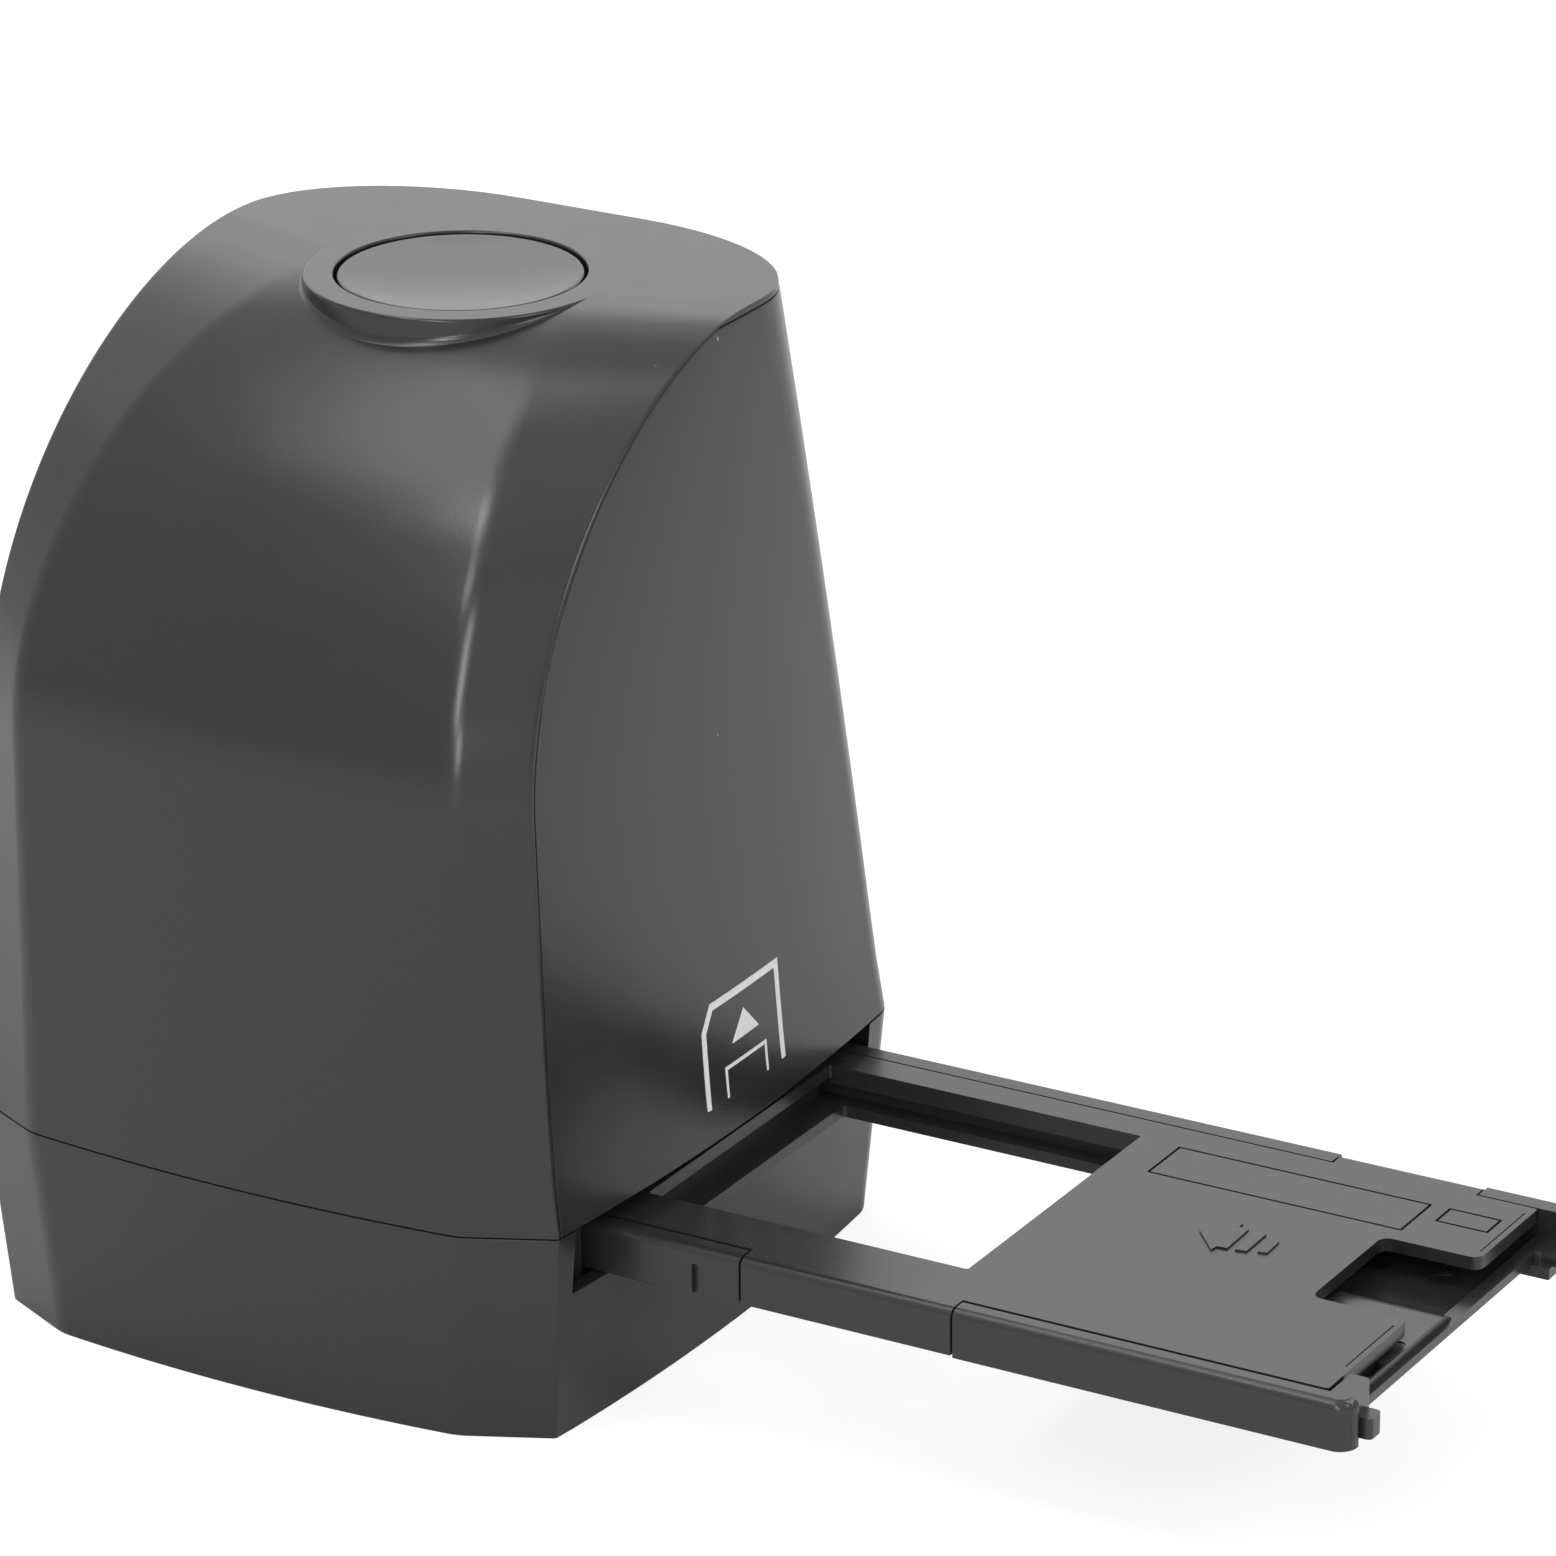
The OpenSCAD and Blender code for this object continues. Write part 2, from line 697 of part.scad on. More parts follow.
module lens_holder() {
    z0 = frame_top + frame_top_t;
    well = sensor_size + 4;
    color("#26272a")
    difference() {
        union() {
            box(-holder_flange/2, holder_flange/2, -holder_flange/2, holder_flange/2, z0, sensor_z);
            drill(0, 0, z0 - neck_l, z0 + 1, neck_r);
        }
        drill(0, 0, z0 - neck_l - 1, sensor_z, barrel_r + run_gap);
        box(-well/2, well/2, -well/2, well/2, filter_z, sensor_z + 1);
        for (sx = [-1, 1], sy = [-1, 1])
            drill(sx*flange_screw, sy*flange_screw, 0, big, clear_r);
    }
}

module focus_ring() {
    ring_t = 2.4;
    z1 = frame_top + frame_top_t - neck_l;
    color("#8d9094")
    difference() {
        drill(0, 0, z1 - ring_t, z1, barrel_r + 2.4);
        drill(0, 0, z1 - ring_t - 1, z1 + 1, barrel_r + run_gap);
    }
}

module lens_barrel() {
    bore = barrel_r - barrel_t;
    z0 = barrel_z1 - barrel_l;
    color("#17181a")
    difference() {
        drill(0, 0, z0, barrel_z1, barrel_r);
        drill(0, 0, z0 - 1, barrel_z1 + 1, bore - 0.8);
        drill(0, 0, z0 - 1, z0 + 3.6, bore);
        drill(0, 0, barrel_z1 - 3.2, barrel_z1 + 1, bore);
    }
}

// Lens of radius r and edge thickness t whose two faces bulge by sag
module lens(r, t, sag) {
    dome = (r*r + sag*sag)/(2*sag);
    rotate_extrude()
        intersection() {
            translate([0, -big/2])
                square([r, big]);
            translate([0, t/2 + sag - dome])
                circle(r = dome, $fn = 180);
            translate([0, -t/2 - sag + dome])
                circle(r = dome, $fn = 180);
        }
}

module front_lens() {
    color([0.8, 0.88, 0.9, 0.5])
    translate([0, 0, barrel_z1 - barrel_l + 2.2])
        lens(lens_r, 1, 0.8);
}

module rear_lens() {
    color([0.8, 0.88, 0.9, 0.5])
    translate([0, 0, barrel_z1 - 1.8])
        lens(lens_r, 1, 0.7);
}

module ir_filter() {
    half = sensor_size/2 + 1.8;
    color([0.6, 0.85, 0.8, 0.6])
    box(-half, half, -half, half, filter_z, filter_z + 0.6);
}

module image_sensor() {
    half = sensor_size/2;
    color("#3a3f4a")
    difference() {
        box(-half, half, -half, half, sensor_z - sensor_t, sensor_z);
        box(-half + 1, half - 1, -half + 1, half - 1, sensor_z - sensor_t - 1, sensor_z - sensor_t + 0.4);
    }
}

module sensor_board() {
    half_x = holder_flange/2 + 7;
    half_y = holder_flange/2 + 3;
    color("#2f6b45")
    difference() {
        box(-half_x, half_x, -half_y, half_y, sensor_z, sensor_z + board2_t);
        for (sx = [-1, 1], sy = [-1, 1])
            drill(sx*flange_screw, sy*flange_screw, sensor_z - 1, sensor_z + board2_t + 1, clear_r);
    }
}

module sensor_screws() {
    color("#9a9da1")
    for (sx = [-1, 1], sy = [-1, 1])
        translate([sx*flange_screw, sy*flange_screw, sensor_z + board2_t])
            rotate([180, 0, 0])
                screw(0, 0, 0, 8.5, thread_r);
}

// Flat cable of width w along the points of path in the YZ plane, centred on x
module flat_cable(path, x, w) {
    last = len(path) - 1;
    back = [for (i = [last:-1:0])
        let (d = path[min(i + 1, last)] - path[max(i - 1, 0)])
            path[i] + ribbon_t*[-d[1], d[0]]/norm(d)];
    translate([x, 0, 0])
        rotate([90, 0, 90])
            linear_extrude(height = w, center = true)
                polygon(concat(path, back));
}

module sensor_ribbon() {
    y1 = holder_flange/2 + 3;
    z1 = sensor_z + board2_t;
    z2 = main_z0 + main_h;
    y2 = main_y0 - ribbon_t;
    color("#c8b27a")
    flat_cable([[y1 - 4, z1], [y1 + 1, z1], [y1 + 7, z1 - 0.6], [y2 - 2.5, z1 - 5], [y2 - 0.5, z1 - 9],
        [y2, z2 - 2], [y2, z2 - 6]], 0, 12);
}

module main_board() {
    color("#2f6b45")
    difference() {
        box(-main_w/2, main_w/2, main_y0, main_y0 + board2_t, main_z0, main_z0 + main_h);
        for (sx = [-1, 1], z = [main_z0 + main_post[1], main_z0 + main_h - main_post[1]])
            translate([sx*main_post[0], main_y0 - 1, z])
                rotate([-90, 0, 0])
                    cylinder(r = clear_r, h = board2_t + 2);
    }
}

module main_chips() {
    color("#1a1b1d")
    for (chip = [[-8, 24, 14, 14, 1.4], [12, 30, 10, 8, 1.1], [11, 14, 6, 5, 1.6], [-15, 10, 4, 6, 2]])
        box(chip[0] - chip[2]/2, chip[0] + chip[2]/2, main_y0 - chip[4], main_y0,
            main_z0 + chip[1] - chip[3]/2, main_z0 + chip[1] + chip[3]/2);
}

module board_screws() {
    color("#9a9da1")
    for (sx = [-1, 1], z = [main_z0 + main_post[1], main_z0 + main_h - main_post[1]])
        translate([sx*main_post[0], main_y0, z])
            rotate([-90, 0, 0])
                screw(0, 0, 0, 5, thread_r);
}

module usb_socket() {
    shell_t = 0.4;
    y1 = rear_at(usb_z) - 0.8;
    y0 = main_y0 + board2_t;
    w = usb_size[0];
    h = usb_size[1];
    color("#c4c6c9")
    difference() {
        box(usb_x - w/2, usb_x + w/2, y0, y1, usb_z - h/2, usb_z + h/2);
        difference() {
            box(usb_x - w/2 + shell_t, usb_x + w/2 - shell_t, y0 + 2, y1 + 1,
                usb_z - h/2 + shell_t, usb_z + h/2 - shell_t);
            box(usb_x - w/2 + 2.4, usb_x + w/2 - 2.4, y0, y1 - 1.2, usb_z - 0.5, usb_z + 0.5);
        }
    }
}

module backlight_ribbon() {
    y1 = holder_y1 + slide_gap + rail_t + 0.7;
    z0 = light_z + board_t;
    y2 = main_y0 + board2_t + ribbon_t;
    color("#c8b27a")
    flat_cable([[box_w/2 + 0.3, z0], [y1 - 3, z0], [y1 - 1, z0 + 1], [y1, z0 + 4], [y1, main_z0 - 4],
        [y2, main_z0 - 1], [y2, main_z0 + 4]], 6, 8);
}

// Disc that carries the button's stem and, on two posts, its switch board
module button_guide() {
    guide_r = collar_r - 0.1;
    color("#3a3b3d")
    difference() {
        union() {
            translate([0, button_y, 0]) {
                drill(0, 0, guide_z0, collar_z0, guide_r);
                for (sx = [-1, 1])
                    drill(sx*button_post_x, 0, switch_z0, guide_z0 + 1, button_post_r);
            }
        }
        translate([0, button_y, 0]) {
            drill(0, 0, 0, big, stem_r + run_gap);
            for (sx = [-1, 1])
                drill(sx*button_post_x, 0, 0, guide_z0, 0.8);
            for (turn = [90, 210, 330])
                rotate([0, 0, turn])
                    drill(collar_screw, 0, 0, big, clear_r);
        }
    }
}

module guide_screws() {
    color("#9a9da1")
    for (turn = [90, 210, 330])
        translate([0, button_y, 0])
            rotate([0, 0, turn])
                screw(collar_screw, 0, guide_z0, 6.4, thread_r);
}

module button_board() {
    color("#2f6b45")
    difference() {
        box(-button_post_x - 3, button_post_x + 3, button_y - 8, button_y + 8,
            button_board_z, switch_z0);
        for (sx = [-1, 1])
            drill(sx*button_post_x, button_y, 0, big, 1);
    }
}

module button_board_screws() {
    color("#9a9da1")
    for (sx = [-1, 1])
        screw(sx*button_post_x, button_y, button_board_z, 5, 0.75);
}

module tact_switch() {
    half = 3;
    color("#202124")
    difference() {
        box(-half, half, button_y - half, button_y + half, switch_z0, switch_z0 + switch_h);
        drill(0, button_y, switch_z0 + 1, big, plunger_r + run_gap);
    }
}

module switch_plunger() {
    color("#d8d4c8")
    drill(0, button_y, switch_z0 + plunger_z0, stem_z0 - 0.05, plunger_r);
}

// Cap with a dished top, a guide stem and a flange that the collar holds back
module scan_button() {
    dish = 1;
    edge = 0.6;
    bowl = (pow(button_r - edge, 2) + dish*dish)/(2*dish);
    color(shade)
    translate([0, button_y, 0])
        difference() {
            union() {
                rotate_extrude($fn = 96)
                    polygon([[0, cap_floor], [0, cap_z1], [button_r - edge, cap_z1],
                        [button_r, cap_z1 - edge], [button_r, cap_z0], [button_r - cap_t, cap_z0],
                        [button_r - cap_t, cap_floor]]);
                difference() {
                    drill(0, 0, cap_z0, cap_z0 + flange_t, button_r + flange_in + 0.2);
                    drill(0, 0, 0, big, button_r - cap_t);
                }
                drill(0, 0, stem_z0, cap_z0 + 2, stem_r);
            }
            translate([0, 0, cap_z1 - dish + bowl])
                sphere(r = bowl, $fn = 180);
        }
}

// Compression spring between the guide disc and the underside of the cap
module button_spring() {
    sides = 6;
    per_turn = 14;
    steps = coil_turns*per_turn;
    z0 = collar_z0 + wire_r + 0.05;
    z1 = cap_floor - wire_r - 0.05;
    function coil_point(i, j) =
        let (a = 360*i/per_turn, b = 360*j/sides, r = coil_r + wire_r*cos(b))
        [r*cos(a), r*sin(a) + button_y, mix(z0, z1, i/steps) + wire_r*sin(b)];
    points = [for (i = [0:steps]) for (j = [0:sides - 1]) coil_point(i, j)];
    walls = [for (i = [0:steps - 1]) for (j = [0:sides - 1])
        let (a = i*sides + j, b = i*sides + (j + 1) % sides)
            for (f = [[a, b, a + sides], [b, b + sides, a + sides]]) f];
    start = [for (j = [sides - 1:-1:0]) j];
    end = [for (j = [0:sides - 1]) steps*sides + j];
    color("#b9bcc0")
    polyhedron(points, concat([start], walls, [end]));
}

// Knuckle blocks of the lid lie between these x values, mirrored about the slide's centre
module at_knuckles() {
    for (side = [-1, 1])
        translate([pulled_out + side*(knuckle_in + knuckle_l/2), 0, 0])
            children();
}

module tray_frame() {
    half = pocket/2;
    bar = 2;
    inner_z = lid_z0 - 0.1;
    end_r = 2.5;
    skirt_room = skirt_t + 0.6;
    tab_h = 2.4;
    ledge_y = holder_y0 + side_t - 1;
    ledge_h = inner_z - holder_z0;
    scoop_y = [notch_y - notch_w/2 + 6, notch_y + 3.6];
    color("#333436")
    difference() {
        union() {
            difference() {
                box(holder_x0, holder_x1, holder_y0, holder_y1, holder_z0, holder_z1);
                // Everything inside the outer walls, over the floor
                box(holder_x0 - 1, holder_x1 + 1, holder_y0 + side_t, holder_y1 - side_t - 0.2,
                    holder_z0 + floor_t, holder_z1 + 1);
                // Opening in the latch-side wall for the lid's skirt
                box(latch_x0, latch_x1, holder_y0 - 1, holder_y0 + side_t + 1, holder_z0 + floor_t,
                    holder_z1 + 1);
                box(latch_x0, latch_x1, holder_y0 - 1, holder_y0 + skirt_room, holder_z0 - 1, holder_z1 + 1);
                at_knuckles()
                    box(-knuckle_l/2 - part_gap, knuckle_l/2 + part_gap, holder_y1 - side_t - 1,
                        holder_y1 + 1, hinge_z - knuckle_r - part_gap, holder_z1 + 1);
            }
            // Walls round the slide's pocket
            difference() {
                box(pulled_out - half - bar, pulled_out + half + bar, -half - bar, half + bar,
                    holder_z0, inner_z);
                box(pulled_out - half, pulled_out + half, -half, half, holder_z0 + floor_t, holder_z1);
            }
            // Wall behind the latch skirt, with its catch
            box(latch_x0, latch_x1, holder_y0 + skirt_room, holder_y0 + skirt_room + catch_d,
                holder_z0, inner_z);
            box(latch_x0 + 10, latch_x1 - 10, holder_y0 + skirt_room - 0.2, holder_y0 + skirt_room + 1,
                holder_z0 + 2, holder_z0 + 3);
            // Stop tabs at the ends of the floor
            for (side = [0, 1])
                translate([pulled_out, 0, 0])
                    mirror([side, 0, 0])
                        translate([-pulled_out, 0, 0]) {
                            box(holder_x1 - 3, holder_x1 + tab_out, holder_y1 - 9, holder_y1, holder_z0,
                                holder_z0 + tab_h);
                            box(holder_x1 - 2, holder_x1 + tab_out, holder_y0 + 1.2, holder_y0 + 3,
                                holder_z0 + 0.6, holder_z0 + 3);
                            box(holder_x1 - 1.2, holder_x1, holder_y0 + 2, holder_y1 - 2,
                                holder_z0, holder_z0 + tab_h);
                            // Ledge under the lid's end, with a scoop down to the floor
                            translate([holder_x1 - lid_inset - notch_l, 0, holder_z0])
                                rotate([90, 0, 90])
                                    linear_extrude(height = lid_inset + notch_l - 1.2)
                                        polygon([[ledge_y, 0], [ledge_y, ledge_h], [scoop_y[0], ledge_h],
                                            [scoop_y[1], floor_t], [scoop_y[1], 0]]);
                        }
        }
        box(pulled_out - ledge_window[0]/2, pulled_out + ledge_window[0]/2,
            -ledge_window[1]/2, ledge_window[1]/2, holder_z0 - 1, holder_z1 + 1);
        // Notch that the detent spring clicks into when the slide is on the optical axis
        box(pulled_out + detent_x - detent_w/2, pulled_out + detent_x + detent_w/2,
            holder_y0 - 1, holder_y0 + 0.7, holder_z0 - 1, holder_z0 + 4.3);
        at_knuckles()
            translate([0, hinge_y, hinge_z])
                rotate([0, 90, 0])
                    cylinder(r = pin_r, h = pin_l, center = true);
        // Rounded outer corners on the latch side
        for (x = [holder_x0, holder_x1])
            let (s = x > pulled_out ? 1 : -1)
                difference() {
                    box(x - end_r, x + end_r, holder_y0 - 1, holder_y0 + end_r, holder_z0 - 1, holder_z1 + 1);
                    translate([x - s*end_r, holder_y0 + end_r, holder_z0 - 2])
                        cylinder(r = end_r, h = holder_t + 4);
                    box(x - 2*end_r, x + 2*end_r, holder_y0 + end_r, holder_y0 + 2*end_r, holder_z0 - 2,
                        holder_z1 + 2);
                    if (s > 0)
                        box(x - 2*end_r, x - end_r, holder_y0 - 2, holder_y0 + end_r + eps, holder_z0 - 2,
                            holder_z1 + 2);
                    else
                        box(x + end_r, x + 2*end_r, holder_y0 - 2, holder_y0 + end_r + eps, holder_z0 - 2,
                            holder_z1 + 2);
                }
    }
}

module tray_lid() {
    y0 = holder_y0 + side_t + part_gap;
    y1 = holder_y1 - side_t - 0.2 - part_gap;
    x0 = holder_x0 + lid_inset;
    x1 = holder_x1 - lid_inset;
    win = lid_window/2;
    skirt_x0 = latch_x0 + part_gap;
    skirt_x1 = latch_x1 - part_gap;
    groove = 0.35;
    label_x = [pulled_out + win + 6.4, x1 - notch_l + 1];
    label_y = [y1 - 14.1, y1 - 5.6];
    arrow_x = pulled_out + win + 19.7;
    head_l = 5;
    color("#3a3b3d")
    difference() {
        union() {
            difference() {
                box(x0, x1, y0, y1, lid_z0, holder_z1);
                box(pulled_out - win, pulled_out + win, -win, win, lid_z0 - 1, holder_z1 + 1);
                for (side = [-1, 1])
                    translate([pulled_out + side*(x1 - pulled_out), notch_y, holder_z1 - 1])
                        cube([2*notch_l, notch_w, 6], center = true);
            }
            box(skirt_x0, skirt_x1, holder_y0, y0 + 1, lid_z0, holder_z1);
            box(skirt_x0, skirt_x1, holder_y0, holder_y0 + skirt_t, holder_z0 + 0.3, holder_z1);
            // Ribs that hold the slide down in its pocket
            for (s = [-1, 1])
                box(pulled_out - win, pulled_out + win, s*(win + 0.5) - 0.5, s*(win + 0.5) + 0.5,
                    lid_z0 - 0.8, lid_z0 + eps);
            at_knuckles() {
                box(-knuckle_l/2, knuckle_l/2, y1 - 1, hinge_y, lid_z0, holder_z1);
                translate([0, hinge_y, hinge_z])
                    rotate([0, 90, 0])
                        cylinder(r = knuckle_r, h = knuckle_l, center = true);
            }
        }
        at_knuckles()
            translate([0, hinge_y, hinge_z])
                rotate([0, 90, 0])
                    cylinder(r = pin_r + run_gap, h = pin_l, center = true);
        // Engraved frame and arrow
        difference() {
            box(label_x[0], label_x[1], label_y[0], label_y[1], holder_z1 - groove, holder_z1 + 1);
            box(label_x[0] + groove, label_x[1] - groove, label_y[0] + groove, label_y[1] - groove,
                0, holder_z1 + 2);
        }
        translate([arrow_x, notch_y + 0.7, holder_z1 - groove])
            linear_extrude(height = 1)
                polygon([[0, 0], [head_l, 4.2], [head_l, 2], [head_l + 4, 2], [head_l + 4, -2], [head_l, -2],
                    [head_l, -4.2]]);
    }
}

module lid_hinge_pins() {
    color("#b9bcc0")
    at_knuckles()
        translate([0, hinge_y, hinge_z])
            rotate([0, 90, 0])
                cylinder(r = pin_r, h = pin_l, center = true);
}

base_shell();
body_shell();
front_cover();
insertion_mark();
rubber_feet();
base_screws();
tray_channel();
front_rail();
rear_rail();
channel_screws();
detent_spring();
backlight_board();
backlight_leds();
light_box();
diffuser();
dust_window();
optical_frame();
frame_screws();
light_shroud();
lens_holder();
focus_ring();
lens_barrel();
front_lens();
rear_lens();
ir_filter();
image_sensor();
sensor_board();
sensor_screws();
sensor_ribbon();
main_board();
main_chips();
board_screws();
usb_socket();
backlight_ribbon();
button_guide();
guide_screws();
button_board();
button_board_screws();
tact_switch();
scan_button();
button_spring();
switch_plunger();
tray_frame();
tray_lid();
lid_hinge_pins();
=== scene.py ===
import json
import math
from contextlib import contextmanager

import bmesh
import bpy
from mathutils import Matrix, Vector


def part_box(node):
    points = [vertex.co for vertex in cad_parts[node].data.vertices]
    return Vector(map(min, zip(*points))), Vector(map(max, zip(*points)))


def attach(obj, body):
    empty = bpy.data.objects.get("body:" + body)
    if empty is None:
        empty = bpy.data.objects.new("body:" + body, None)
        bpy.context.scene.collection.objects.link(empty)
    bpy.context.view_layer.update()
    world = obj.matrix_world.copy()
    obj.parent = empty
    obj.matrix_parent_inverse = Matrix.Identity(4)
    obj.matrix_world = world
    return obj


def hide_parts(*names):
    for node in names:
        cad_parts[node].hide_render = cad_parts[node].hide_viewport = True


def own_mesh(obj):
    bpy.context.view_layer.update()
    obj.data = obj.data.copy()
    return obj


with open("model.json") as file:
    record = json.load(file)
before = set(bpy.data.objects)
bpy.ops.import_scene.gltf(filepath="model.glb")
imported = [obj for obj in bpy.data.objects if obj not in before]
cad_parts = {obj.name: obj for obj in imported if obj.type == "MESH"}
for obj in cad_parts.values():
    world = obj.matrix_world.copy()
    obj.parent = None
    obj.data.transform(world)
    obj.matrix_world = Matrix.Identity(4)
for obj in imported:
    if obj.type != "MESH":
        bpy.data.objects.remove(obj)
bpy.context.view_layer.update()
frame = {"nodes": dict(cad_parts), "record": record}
scene = bpy.context.scene
mm = 0.001
tiny = 0.01 * mm                  # near enough to be the same place


def millimetres(**sizes):
    # sizes written in millimetres, for use in metres
    def scaled(size):
        return size * mm if isinstance(size, (int, float)) else tuple(scaled(part) for part in size)

    return {name: scaled(size) for name, size in sizes.items()}


def blend(a, b, u):
    return a + (b - a) * u


def bezier(a, b, c, u):
    return a * (1 - u) ** 2 + b * 2 * u * (1 - u) + c * u * u


def shares(count, first=0):
    # even steps up to 1
    return [i / count for i in range(first, count + 1)]


def arc(centre, radius, start, end, count):
    # points from one angle to another, in degrees
    turns = (math.radians(blend(start, end, u)) for u in shares(count))
    return [(centre[0] + radius * math.cos(turn), centre[1] + radius * math.sin(turn)) for turn in turns]


# camera and studio; each box light has azimuth, elevation, distance, width, height and power
view = {"azimuth": 30.26, "elevation": 21.71, "roll": -0.311, "place": (0.52966, -0.82234, 0.45611),
        "lens": 185.84, "sensor": 36, "farthest": 50}
studio = {"floorSize": 12, "floorColour": 0.86, "floorShown": 0.80, "floorShade": 0.32, "floorMirrored": 0.02,
          "worldSoft": 0.61, "worldShown": 1.0, "worldMirrored": 0.74, "aim": (0, 0, 0.08),
          "boxes": {"crown": (266, 67, 1.00, 0.60, 0.26, 1.25),
                    "back": (210, 20, 1.30, 2.40, 0.75, 3.5),
                    "backHigh": (210, 34, 1.30, 2.40, 0.30, 2.0),
                    "overhead": (20, 84, 1.30, 1.00, 1.00, 0.9),
                    "side": (85, 34, 1.00, 0.34, 0.36, 2.0),
                    "stripTop": (325, 65, 1.00, 0.16, 0.16, 0.9),
                    "stripHigh": (345, 52, 1.00, 0.14, 0.20, 0.6),
                    "strip": (12, 31, 1.00, 0.12, 0.52, 2.3),
                    "stripLow": (22, 9, 1.00, 0.16, 0.16, 1.0)}}


def newObject(name, data):
    made = bpy.data.objects.new(name, data)
    scene.collection.objects.link(made)
    return made


def turned(azimuth, elevation, roll=0):
    # looks at the object from this side
    return (Matrix.Rotation(math.radians(azimuth), 4, "Z")
            @ Matrix.Rotation(math.radians(90 - elevation), 4, "X")
            @ Matrix.Rotation(math.radians(roll), 4, "Z"))


def makeCamera():
    camera = newObject("camera", bpy.data.cameras.new("camera"))
    camera.data.lens = view["lens"]
    camera.data.sensor_width = view["sensor"]
    camera.data.clip_end = view["farthest"]
    turn = turned(view["azimuth"], view["elevation"], view["roll"])
    camera.matrix_world = Matrix.Translation(view["place"]) @ turn
    scene.camera = camera


def makeBoxLight(name, azimuth, elevation, distance, width, height, power):
    lamp = bpy.data.lights.new(name, "AREA")
    lamp.shape = "RECTANGLE"
    lamp.size, lamp.size_y, lamp.energy = width, height, power
    light = newObject(name, lamp)
    light.matrix_world = (Matrix.Translation(studio["aim"]) @ turned(azimuth, elevation)
                          @ Matrix.Translation((0, 0, distance)))


class Value:                      # a socket that can be added, multiplied and so on
    def __init__(self, finish, socket):
        self.finish, self.socket = finish, socket

    def maths(self, operation, *values):
        return self.finish.node("ShaderNodeMath", {"operation": operation}, dict(enumerate(values)))


for word, operation in (("add", "ADD"), ("sub", "SUBTRACT"), ("mul", "MULTIPLY")):
    setattr(Value, f"__{word}__", lambda one, other, kind=operation: one.maths(kind, one, other))
    setattr(Value, f"__r{word}__", lambda one, other, kind=operation: one.maths(kind, other, one))


class Nodes:                      # the node tree of a material or of the world
    def __init__(self, tree):
        self.tree = tree

    def put(self, value, socket):
        if isinstance(value, Value):
            self.tree.links.new(value.socket, socket)
        else:
            socket.default_value = value

    def node(self, kind, settings, values, output=0):
        made = self.tree.nodes.new(kind)
        for key, value in settings.items():
            setattr(made, key, value)
        for key, value in values.items():
            self.put(value, made.inputs[key])
        return Value(self, made.outputs[output])

    def raysFrom(self, *kinds):
        # 1 for each kind of ray that looks at this, otherwise 0
        return [self.node("ShaderNodeLightPath", {}, {}, f"Is {kind} Ray") for kind in kinds]


class Finish(Nodes):              # a material with one shader, and short ways to feed it
    def __init__(self, name, **constants):
        self.material = bpy.data.materials.new(name)
        self.material.use_nodes = True
        super().__init__(self.material.node_tree)
        self.shader = self.tree.nodes["Principled BSDF"]
        self.place = self.node("ShaderNodeTexCoord", {}, {}, "Object")
        self.feed(**constants)

    def noise(self, size, detail=2.0, stretch=(1, 1, 1), roughness=0.5):
        place = self.node("ShaderNodeMapping", {}, {"Vector": self.place, "Scale": stretch})
        return self.node("ShaderNodeTexNoise", {}, {"Vector": place, "Scale": 1 / size, "Detail": detail,
                                                    "Roughness": roughness})

    def bands(self, size, way):
        return self.node("ShaderNodeTexWave", {"wave_type": "BANDS", "bands_direction": way},
                         {"Vector": self.place, "Scale": 1 / size, "Distortion": 0.0}, "Fac")

    def cells(self, size, output, **settings):
        return self.node("ShaderNodeTexVoronoi", settings, {"Vector": self.place, "Scale": 1 / size}, output)

    def ramp(self, value, low, high):        # 0 below low, 1 above high
        return self.node("ShaderNodeMapRange", {"interpolation_type": "SMOOTHSTEP"},
                         {"Value": value, "From Min": low, "From Max": high})

    def mix(self, factor, first, second):    # of two colours
        return self.node("ShaderNodeMix", {"data_type": "RGBA"},
                         {0: factor, 6: colour(first), 7: colour(second)}, 2)

    def bump(self, height, distance):
        return self.node("ShaderNodeBump", {}, {"Height": height, "Distance": distance, "Strength": 1.0})

    def feed(self, **values):
        for key, value in values.items():
            self.put(value, self.shader.inputs[key.replace("_", " ")])
        return self.material


def colour(shade):
    if isinstance(shade, Value):
        return shade
    return (shade, shade, shade, 1) if isinstance(shade, (int, float)) else (*shade, 1)


def tinted(shade, by):
    return [min(1, part * by) for part in shade]


def mouldedPlastic(name, shade, roughness, grain, depth, dust=0.0, streak=0.0):
    # textured plastic: a fine spark-eroded grain, faint clouds, specks of dust, and streaks along x
    finish = Finish(name, IOR=1.5)
    height = finish.noise(grain * mm, 3)
    tone = 0.97 + finish.noise(38 * mm, 4) * 0.06
    rough = roughness - 0.05 + finish.noise(9 * mm, 3) * 0.10
    if streak:
        lines = finish.noise(1.1 * mm, 4, (0.012, 1, 1), 0.65)
        fineLines = finish.noise(0.35 * mm, 2, (0.01, 1, 1))
        rough = rough + (lines - 0.5) * streak
        height = height * 0.5 + lines * 1.1 + fineLines * 0.5
    base = finish.mix(finish.ramp(tone, 0.9, 1.1), tinted(shade, 0.93), tinted(shade, 1.07))
    if dust:
        patches = finish.ramp(finish.noise(30 * mm, 2), 0.46, 0.60)
        speck = (1 - finish.ramp(finish.cells(13 * mm, "Distance"), 0.010, 0.028)) * patches * dust
        base = finish.mix(speck, base, 0.42)
        rough = rough + speck * 0.2
    return finish.feed(Base_Color=base, Roughness=rough, Normal=finish.bump(height, depth * mm))


